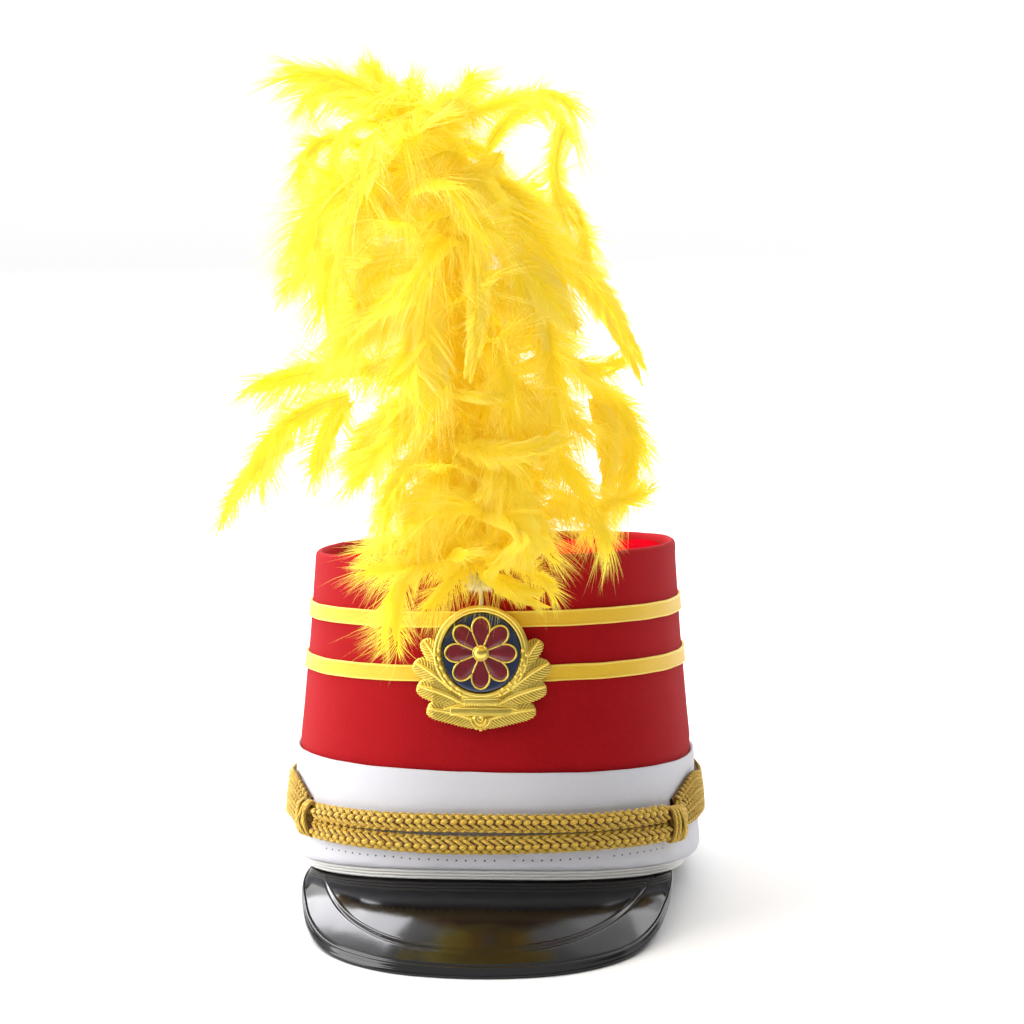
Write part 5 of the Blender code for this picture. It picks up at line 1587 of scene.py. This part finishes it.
class Feather:
    """A bent quill and the curved surface on both sides of it."""

    def __init__(self, ends, half_width, face, style, droop, cup, tone, seed):
        self.ends = tuple(np.asarray(v, dtype=float) for v in ends)
        self.half_width, self.droop, self.cup, self.tone = half_width, droop, cup, tone
        self.face = np.asarray(face, dtype=float)
        self.shape = FEATHER_SHAPES[style]
        self.wild = self.shape["wild"]
        self.rng = np.random.default_rng(seed)
        fine = bend_curve(*self.ends, np.linspace(0.0, 1.0, 40))
        self.length = np.linalg.norm(np.diff(fine, axis=0), axis=1).sum()
        self.twist = self.rng.normal(0.0, 0.45) * self.wild
        self.place_in_noise = (seed % 97) * 3.7

    def axes(self, s):
        place = bend_curve(*self.ends, s)
        ahead = unit(bend_curve(*self.ends, s + 0.02) - place)
        normal = unit(self.face - ahead * (ahead @ self.face)[:, None])
        across = np.cross(ahead, normal)
        turn = ((s - 0.3) * self.twist)[:, None]
        cosine, sine = np.cos(turn), np.sin(turn)
        return place, ahead, normal * cosine + across * sine, across * cosine - normal * sine

    def reach(self, s):
        angle = np.radians(np.interp(s, self.shape["at"], self.shape["angle"]))
        width = self.half_width * np.interp(s, self.shape["at"], self.shape["width"])
        return angle, width / np.maximum(np.sin(angle), 0.62)

    def surface(self, s, side, out, reach, angle, lift=0.0, pull=0.0):
        """Points for arrays s (n) along the quill and out (n, m) along the barbs."""
        place, ahead, normal, across = self.axes(s)
        direction = ahead * np.cos(angle)[:, None] + across * (side * np.sin(angle))[:, None]
        direction = unit(direction + normal * np.broadcast_to(lift, s.shape)[:, None])
        bend = ahead * (BARB_FORWARD * reach)[:, None] + DOWN * (self.droop * reach)[:, None]
        bend = bend - normal * (self.cup * reach)[:, None] + pull
        far = out[..., None]
        points = place[:, None] + direction[:, None] * reach[:, None, None] * far + bend[:, None] * far**2
        return points, normal

    def keep(self, points, faces, s, out, reach, tone):
        """Store a part with what the material needs to know of each point."""
        vane = (s[:, None] * self.length * 1.3, out * reach[:, None] * 0.09, self.place_in_noise)
        points = points.reshape(-1, 3)
        # painted shade and light: feathers are painted deeper near the plume's core and paler further out
        core = np.stack([table(CORE_ROWS, points[:, 2], column) for column in (1, 2)], axis=-1)
        from_core = np.linalg.norm(points[:, :2] - core, axis=1)
        outer = share_of((from_core - PALE_FROM) / (PALE_TO - PALE_FROM))
        values = {
            "fringe": share_of(out).ravel(),
            "light_and_dye": np.broadcast_to(tone, out.shape).ravel() * 0.65 + outer * 0.35,
            "vane": np.stack(np.broadcast_arrays(*vane), axis=-1).reshape(-1, 3),
        }
        feather_parts.append((points, faces, values))

    def add_sheet(self):
        s = np.linspace(0.02, 0.96, SHEET_ROWS)
        angle, reach = self.reach(s)
        for side in (-1.0, 1.0):
            edge = self.shape["sheet"] * (1 + 0.14 * self.wild * self.rng.uniform(-1, 1, SHEET_ROWS))
            out = edge[:, None] * np.linspace(0.0, 1.0, SHEET_COLUMNS)[None, :]
            points, _ = self.surface(s, side, out, reach, angle)
            faces = split_quads(grid_quads(SHEET_ROWS, SHEET_COLUMNS))
            self.keep(points, faces, s, out, reach, self.tone)

    def add_barbs(self, spacing):
        rng, wild = self.rng, self.wild
        count = max(int(self.length / spacing), 12)
        tuft_count = max(int(self.length / TUFT_SPACING), 3)
        for side in (-1.0, 1.0):
            s = (np.arange(count) + rng.uniform(0.1, 0.9, count)) / count
            tufts = np.sort(rng.uniform(0.0, 1.0, tuft_count))
            nearest = np.argmin(np.abs(s[:, None] - tufts[None, :]), axis=1)
            tuft_turn = rng.normal(0.0, 0.16, tuft_count)[nearest]
            tuft_lift = rng.normal(0.0, 0.34, tuft_count)[nearest]
            tuft_length = rng.uniform(0.82, 1.2, tuft_count)[nearest]
            tuft_pull = rng.normal(0.0, 0.2, (tuft_count, 3))[nearest]
            start = rng.uniform(0.0, 0.7, count)[:, None] * self.shape["sheet"]
            out = start + (1 - start) * BARB_SPLITS[None, :]
            angle, reach = self.reach(s)
            stray = rng.random(count) < BARB_STRAYS * wild
            reach = reach * (1 + wild * (tuft_length * rng.uniform(0.72, 1.15, count) - 1))
            reach = reach * np.where(stray, 1.35, 1.0)
            angle = angle + wild * (tuft_turn + rng.normal(0.0, 0.09, count) * np.where(stray, 2.5, 1.0))
            lift = wild * (tuft_lift + rng.normal(0.0, 0.12, count))
            gather = np.clip((tufts[nearest] - s) * self.length * 0.7, -3.4, 3.4)
            gather = gather * np.where(stray, 0.0, rng.uniform(0.6, 1.1, count))
            ahead = self.axes(s)[1]
            tug = tuft_pull + rng.normal(0.0, 0.07, (count, 3))
            pull = ahead * gather[:, None] + wild * reach[:, None] * tug
            centre, normal = self.surface(s, side, out, reach, angle, lift, pull)
            flat = unit(np.cross(unit(np.gradient(centre, axis=1)), normal[:, None]))
            flat = unit(flat + normal[:, None] * rng.normal(0.0, 0.5, count)[:, None, None])
            half = rng.uniform(0.7, 1.2, count)[:, None] * self.shape["thick"] * BARB_WIDTHS[None, :] * 0.5
            aside = flat * half[..., None]
            ribbon = np.stack([centre - aside, centre + aside], axis=2)[:, :-1].reshape(count, -1, 3)
            points = np.concatenate([ribbon, centre[:, -1:]], axis=1)
            faces = (np.arange(count)[:, None, None] * points.shape[1] + BARB_TRIANGLES).reshape(-1, 3)
            out = np.concatenate([np.repeat(out[:, :-1], 2, axis=1), out[:, -1:]], axis=1)
            tone = np.clip(self.tone + rng.normal(0.0, 0.15, count), 0, 1)[:, None]
            self.keep(points, faces, s, out, reach, tone)

    def add_quill(self):
        s = np.linspace(0.0, 0.95, QUILL_POINTS)
        path, thickness = bend_curve(*self.ends, s), np.linspace(0.45, 0.1, QUILL_POINTS)
        points, faces, _ = tube(path, thickness, QUILL_SIDES, wide=self.face, capped=False)
        s = np.repeat(s, QUILL_SIDES)
        self.keep(points, faces, s, np.full((len(s), 1), 0.3), 0 * s, self.tone)


def add_feather(ends, half_width, face, style, droop, cup, tone, seed, spacing):
    feather = Feather(ends, half_width, face, style, droop, cup, tone, seed)
    feather.add_sheet()
    feather.add_barbs(spacing)
    feather.add_quill()


# %% [markdown]
# ## Laying out the plume
#
# The feathers that give the plume its outline and its front come from a table: root, middle and tip
# of each quill. Between and behind them rows of feathers grow all round an axis that leans to the
# left in its upper half, and droop like the leaves of a palm. More stand close to the axis, where
# they fill the middle, and short ones rise round the foot and join the plume to its white fluff.

# %% The plume
CORE_ROWS = [
    # height, x, y
    (139.5, 0.0, -102.5),
    (150.0, -2.0, -104.5),
    (166.0, -4.0, -101.0),
    (192.0, -1.0, -97.0),
    (222.0, -5.0, -95.0),
    (252.0, -12.0, -94.0),
    (284.0, -18.0, -93.0),
    (314.0, -26.0, -93.0),
    (338.0, -34.0, -93.0),
    (350.0, -37.0, -93.0),
]
FRONT_FEATHERS = [
    # root, middle, tip, half_width, style
    ((-21, -96, 321), (-52, -99, 346), (-82, -103, 349), 12, "soft"),
    ((-24, -92, 321), (-56, -96, 343), (-76, -100, 340), 9, "soft"),
    ((-34, -97, 311), (-66, -102, 323), (-77, -106, 301), 7, "soft"),
    ((-26, -94, 327), (-39, -94, 344), (-45, -92, 353), 8, "soft"),
    ((-22, -90, 324), (-28, -90, 341), (-31, -88, 349), 7, "soft"),
    ((-17, -94, 319), (-10, -96, 338), (1, -98, 347), 8, "soft"),
    ((-21, -98, 328), (-3, -102, 334), (15, -106, 339), 7, "soft"),
    ((3, -97, 320), (24, -102, 341), (41, -106, 333), 10, "soft"),
    ((37, -106, 328), (33, -110, 307), (42, -112, 285), 5, "soft"),
    ((34, -106, 302), (44, -108, 286), (44, -108, 270), 6, "soft"),
    ((-4, -96, 308), (12, -102, 300), (28, -104, 292), 12, "soft"),
    ((-4, -98, 302), (18, -110, 290), (36, -114, 258), 15, "soft"),
    ((-10, -100, 310), (-11, -112, 318), (-32, -118, 309), 12, "soft"),
    ((9, -100, 318), (-2, -118, 300), (-19, -122, 290), 13, "soft"),
    ((26, -100, 286), (50, -107, 260), (72, -112, 222), 7, "vane"),
    ((9, -104, 282), (25, -118, 263), (42, -120, 242), 12, "vane"),
    ((7, -106, 259), (30, -120, 238), (30, -122, 199), 15, "soft"),
    ((33, -98, 233), (48, -102, 226), (62, -104, 230), 7, "soft"),
    ((28, -98, 237), (52, -104, 217), (70, -108, 192), 9, "soft"),
    ((52, -100, 216), (65, -106, 199), (62, -110, 166), 10, "soft"),
    ((48, -104, 212), (55, -110, 195), (53, -112, 167), 7, "vane"),
    ((29, -104, 163), (52, -113, 166), (73, -118, 174), 8, "soft"),
    ((29, -106, 169), (49, -116, 161), (55, -119, 148), 9, "soft"),
    ((-9, -112, 283), (1, -132, 260), (-4, -136, 222), 7, "vane"),
    ((-20, -108, 280), (-21, -124, 244), (-11, -128, 211), 12, "vane"),
    ((-27, -106, 271), (-8, -124, 287), (11, -128, 279), 9, "soft"),
    ((-23, -98, 310), (-59, -106, 301), (-73, -110, 271), 17, "soft"),
    ((-23, -100, 297), (-54, -110, 286), (-66, -114, 249), 17, "soft"),
    ((-26, -94, 315), (-46, -104, 306), (-60, -110, 286), 14, "soft"),
    ((-27, -102, 280), (-45, -112, 263), (-56, -114, 238), 14, "soft"),
    ((-34, -98, 276), (-61, -104, 271), (-83, -106, 259), 7, "soft"),
    ((-17, -98, 225), (-60, -102, 225), (-98, -106, 217), 14, "soft"),
    ((-21, -104, 210), (-36, -112, 205), (-54, -112, 198), 5, "vane"),
    ((-56, -100, 214), (-82, -106, 202), (-97, -110, 181), 11, "soft"),
    ((-80, -104, 194), (-96, -108, 182), (-106, -110, 166), 6, "soft"),
    ((-57, -102, 212), (-65, -108, 200), (-71, -108, 181), 11, "soft"),
    ((-34, -104, 207), (-48, -110, 196), (-54, -110, 184), 9, "soft"),
    ((-19, -100, 246), (-39, -110, 245), (-60, -112, 232), 11, "soft"),
    ((-12, -106, 214), (-32, -120, 199), (-48, -122, 181), 14, "soft"),
    ((-12, -106, 199), (-30, -120, 182), (-40, -122, 158), 12, "soft"),
    ((-5, -108, 195), (-19, -124, 176), (-30, -126, 156), 13, "soft"),
    ((1, -106, 158), (-22, -118, 153), (-46, -120, 148), 8, "soft"),
    ((-1, -106, 148), (-21, -120, 143), (-47, -122, 139), 9, "soft"),
    ((-5, -108, 143), (-28, -122, 139), (-34, -118, 106), 9, "soft"),
    ((-3, -108, 146), (-10, -118, 137), (-20, -118, 125), 9, "soft"),
    ((25, -116, 189), (13, -126, 180), (-2, -128, 170), 6, "vane"),
    ((-6, -118, 166), (19, -134, 159), (3, -132, 138), 9, "vane"),
    ((0, -110, 143), (12, -120, 135), (29, -118, 131), 6, "vane"),
    ((5, -108, 150), (20, -118, 141), (32, -116, 135), 6, "soft"),
    ((10, -108, 201), (30, -122, 191), (49, -120, 168), 13, "soft"),
    ((3, -110, 195), (15, -126, 179), (30, -124, 155), 12, "soft"),
    ((-11, -116, 196), (13, -132, 191), (37, -130, 198), 8, "vane"),
    ((-13, -122, 216), (-1, -132, 214), (9, -134, 212), 4, "vane"),
    ((10, -108, 220), (27, -120, 212), (48, -118, 199), 12, "soft"),
    ((1, -108, 242), (11, -124, 229), (15, -126, 204), 11, "soft"),
]
AROUND_ROWS = [
    # height, feathers, reach, rise, droop, half_width
    (152.0, 8, 24.0, 1.0, 3.0, 11.0),
    (161.0, 9, 32.0, 2.0, 6.0, 12.0),
    (170.0, 9, 24.0, 3.0, 6.0, 13.0),
    (178.0, 9, 38.0, 2.0, 10.0, 14.0),
    (188.0, 9, 25.0, 3.0, 7.0, 14.0),
    (197.0, 9, 42.0, 3.0, 15.0, 15.0),
    (208.0, 9, 26.0, 4.0, 8.0, 15.0),
    (217.0, 9, 43.0, 4.0, 19.0, 15.0),
    (231.0, 9, 43.0, 5.0, 21.0, 16.0),
    (246.0, 9, 45.0, 6.0, 23.0, 16.0),
    (261.0, 9, 47.0, 6.0, 25.0, 17.0),
    (276.0, 9, 49.0, 7.0, 27.0, 17.0),
    (291.0, 9, 49.0, 7.0, 26.0, 17.0),
    (305.0, 9, 46.0, 8.0, 23.0, 16.0),
    (318.0, 9, 38.0, 9.0, 18.0, 15.0),
    (330.0, 8, 28.0, 10.0, 13.0, 13.0),
]
AROUND_DEPTH = 0.9
AROUND_ROOT = 4.0  # mm from the axis
CORE_FROM, CORE_TO, CORE_STEP = 166.0, 326.0, 13.0
CORE_DEPTHS = (-9.0, 7.0)
CORE_WIDTH = 15.0
FOOT_FEATHERS = [
    # height of the root, feathers, reach, rise, half_width: short ones that stand up round the fluff
    (138.0, 9, 13.0, 19.0, 8.0),
    (145.0, 9, 17.0, 17.0, 9.0),
]
FRONT_COPIES = 2
FRONT_LOOSENESS = 4.0  # mm
FRONT_SPACING = 0.28
AROUND_SPACING = 0.42
PLUME_PIECES = 5
LEMON_FROM, LEMON_TO = 215.0, 320.0  # heights between which the feathers are painted paler, as painted light towards the top

plume_rng = np.random.default_rng(1907)


def core_point(height):
    return np.array([float(table(CORE_ROWS, height, 1)), float(table(CORE_ROWS, height, 2)), height])


def light_and_dye_at(place):
    """How pale a feather is painted: the feathers at the top left are painted lemon and the lower ones a
    full yellow, as painted light where the lamps fall most, with the dye's own random differences on top.
    """
    pale = np.clip((place[2] - LEMON_FROM) / (LEMON_TO - LEMON_FROM), 0.0, 1.0) * 0.5
    pale += np.clip(-place[0] / 80.0, 0.0, 1.0) * 0.35
    return float(np.clip(pale + plume_rng.uniform(0.0, 0.4), 0.0, 1.0))


seed = 0
for root, middle, tip, half_width, style in FRONT_FEATHERS:
    ends = np.array((root, middle, tip), dtype=float)
    for copy in range(FRONT_COPIES):
        loose = float(copy > 0)
        shift = plume_rng.normal(0.0, 1.6, 3) * loose + np.array([0.0, 3.0, 0.0]) * loose
        shifts = np.stack([shift, shift, shift + plume_rng.normal(0.0, FRONT_LOOSENESS, 3) * loose])
        face = np.array([0.0, -1.0, 0.3]) + plume_rng.normal(0.0, 0.15 + 0.3 * loose, 3)
        droop, cup = (0.2, 0.25) if style == "soft" else (0.05, 0.25)
        seed += 1
        add_feather(ends + shifts, half_width, face, style, droop, cup, light_and_dye_at(ends[1]), seed, FRONT_SPACING)

for height, count, reach, rise, fall, half_width in AROUND_ROWS:
    start = plume_rng.uniform(0, 2 * math.pi)
    for i in range(count):
        angle = start + 2 * math.pi * (i + plume_rng.uniform(-0.25, 0.25)) / count
        core = core_point(height + plume_rng.uniform(-7.0, 7.0))
        outward = np.array([math.cos(angle), AROUND_DEPTH * math.sin(angle), 0.0])
        far = reach * plume_rng.uniform(0.82, 1.05)
        root = core + outward * AROUND_ROOT
        middle = root + outward * (0.6 * (far - AROUND_ROOT)) + UP * rise
        swing = np.array([-outward[1], outward[0], 0.0]) * plume_rng.normal(0.0, 11.0)
        tip = core + outward * far + swing + UP * (rise - fall * plume_rng.uniform(-0.4, 1.1))
        face = outward * 0.8 + UP * 0.6 + plume_rng.normal(0.0, 0.2, 3)
        droop, cup = plume_rng.uniform(0.0, 0.28), plume_rng.uniform(0.05, 0.35)
        seed += 1
        ends = (root, middle, tip)
        add_feather(ends, half_width, face, "soft", droop, cup, light_and_dye_at(tip), seed, AROUND_SPACING)

for height in np.arange(CORE_FROM, CORE_TO, CORE_STEP):
    for depth in CORE_DEPTHS:
        aside = np.array([plume_rng.uniform(-9.0, 9.0), depth, 0.0])
        root, middle = core_point(height + 20.0) + aside * 0.5, core_point(height) + aside
        tip = core_point(height - 24.0) + aside * plume_rng.uniform(0.8, 1.6)
        face = np.array([plume_rng.normal(0.0, 0.3), depth, 0.2])
        # the core's feathers are painted a deeper yellow still, as painted shade inside the plume
        ends, tone = (root, middle, tip), light_and_dye_at(middle) * 0.6
        seed += 1
        add_feather(ends, CORE_WIDTH, unit(face), "soft", 0.1, 0.2, tone, seed, AROUND_SPACING)

for height, count, reach, rise, half_width in FOOT_FEATHERS:
    for i in range(count):
        angle = 2 * math.pi * (i + plume_rng.uniform(0.0, 0.6)) / count
        outward = np.array([math.cos(angle), math.sin(angle), 0.0])
        core, up = core_point(height), UP * rise
        ends = (core + outward, core + outward * reach * 0.8 + up * 0.4, core + outward * reach + up)
        seed += 1
        add_feather(ends, half_width, outward, "soft", 0.1, 0.1, 0.3, seed, AROUND_SPACING)

per_piece = math.ceil(len(feather_parts) / PLUME_PIECES)
for index in range(PLUME_PIECES):
    plume_part = join_parts(feather_parts[index * per_piece : (index + 1) * per_piece])
    replaces = ["plume"] if index == 0 else []
    name = "plume_feathers_%d" % (index + 1)
    add_piece(name, "yellow_feather", replaces, (plume_part, feather_paint))
plume_triangles = sum(len(faces) for _, faces, _ in feather_parts)
print("the plume has %d feathers and %d triangles" % (seed, plume_triangles))

# %% [markdown]
# ## White fluff at the plume's foot
#
# Where the feathers are tied to the wire, a little cream-white down stands out.

# %% Fluff
KNOB_SIZE = np.array((4.6, 4.0, 3.7))
FLUFF_BARBS = 1500
FLUFF_CURL = 0.45
FLUFF_SAG = 0.6  # mm
FLUFF_STEPS = [
    # share of the barb's length, half its width there
    (0.0, 0.5), (0.5, 0.3), (0.85, 0.14), (1.0, 0.02)
]
FLUFF_QUADS = np.array([[0, 1, 3, 2], [2, 3, 5, 4], [4, 5, 7, 6]])

fluff_rng = np.random.default_rng(8)
ways = unit(fluff_rng.normal(0.0, 1.0, (FLUFF_BARBS, 3)))
lengths = fluff_rng.uniform(0.6, 1.6, FLUFF_BARBS)[:, None] * KNOB_SIZE * 0.8
curls = unit(fluff_rng.normal(0.0, 1.0, (FLUFF_BARBS, 3)))
knob_middle = np.array([0.0, -PLUME_OUT, STEM_TOP + GAP + KNOB_SIZE[2]])
starts = knob_middle + ways * KNOB_SIZE * 0.45
fluff_points = []
for step, width in FLUFF_STEPS:
    bend = curls * lengths * FLUFF_CURL * step**2
    centre = starts + ways * lengths * step + bend + DOWN * step**2 * FLUFF_SAG
    side = unit(np.cross(ways, curls)) * width
    fluff_points += [centre - side, centre + side]
fluff_points = np.stack(fluff_points, axis=1).reshape(-1, 3)
fluff_faces = (np.arange(FLUFF_BARBS)[:, None, None] * 8 + FLUFF_QUADS).reshape(-1, 4)
fluff = (fluff_points, fluff_faces, {})
add_piece("plume_fluff", "white_fluff", ["plume_base"], (fluff, fluff_paint))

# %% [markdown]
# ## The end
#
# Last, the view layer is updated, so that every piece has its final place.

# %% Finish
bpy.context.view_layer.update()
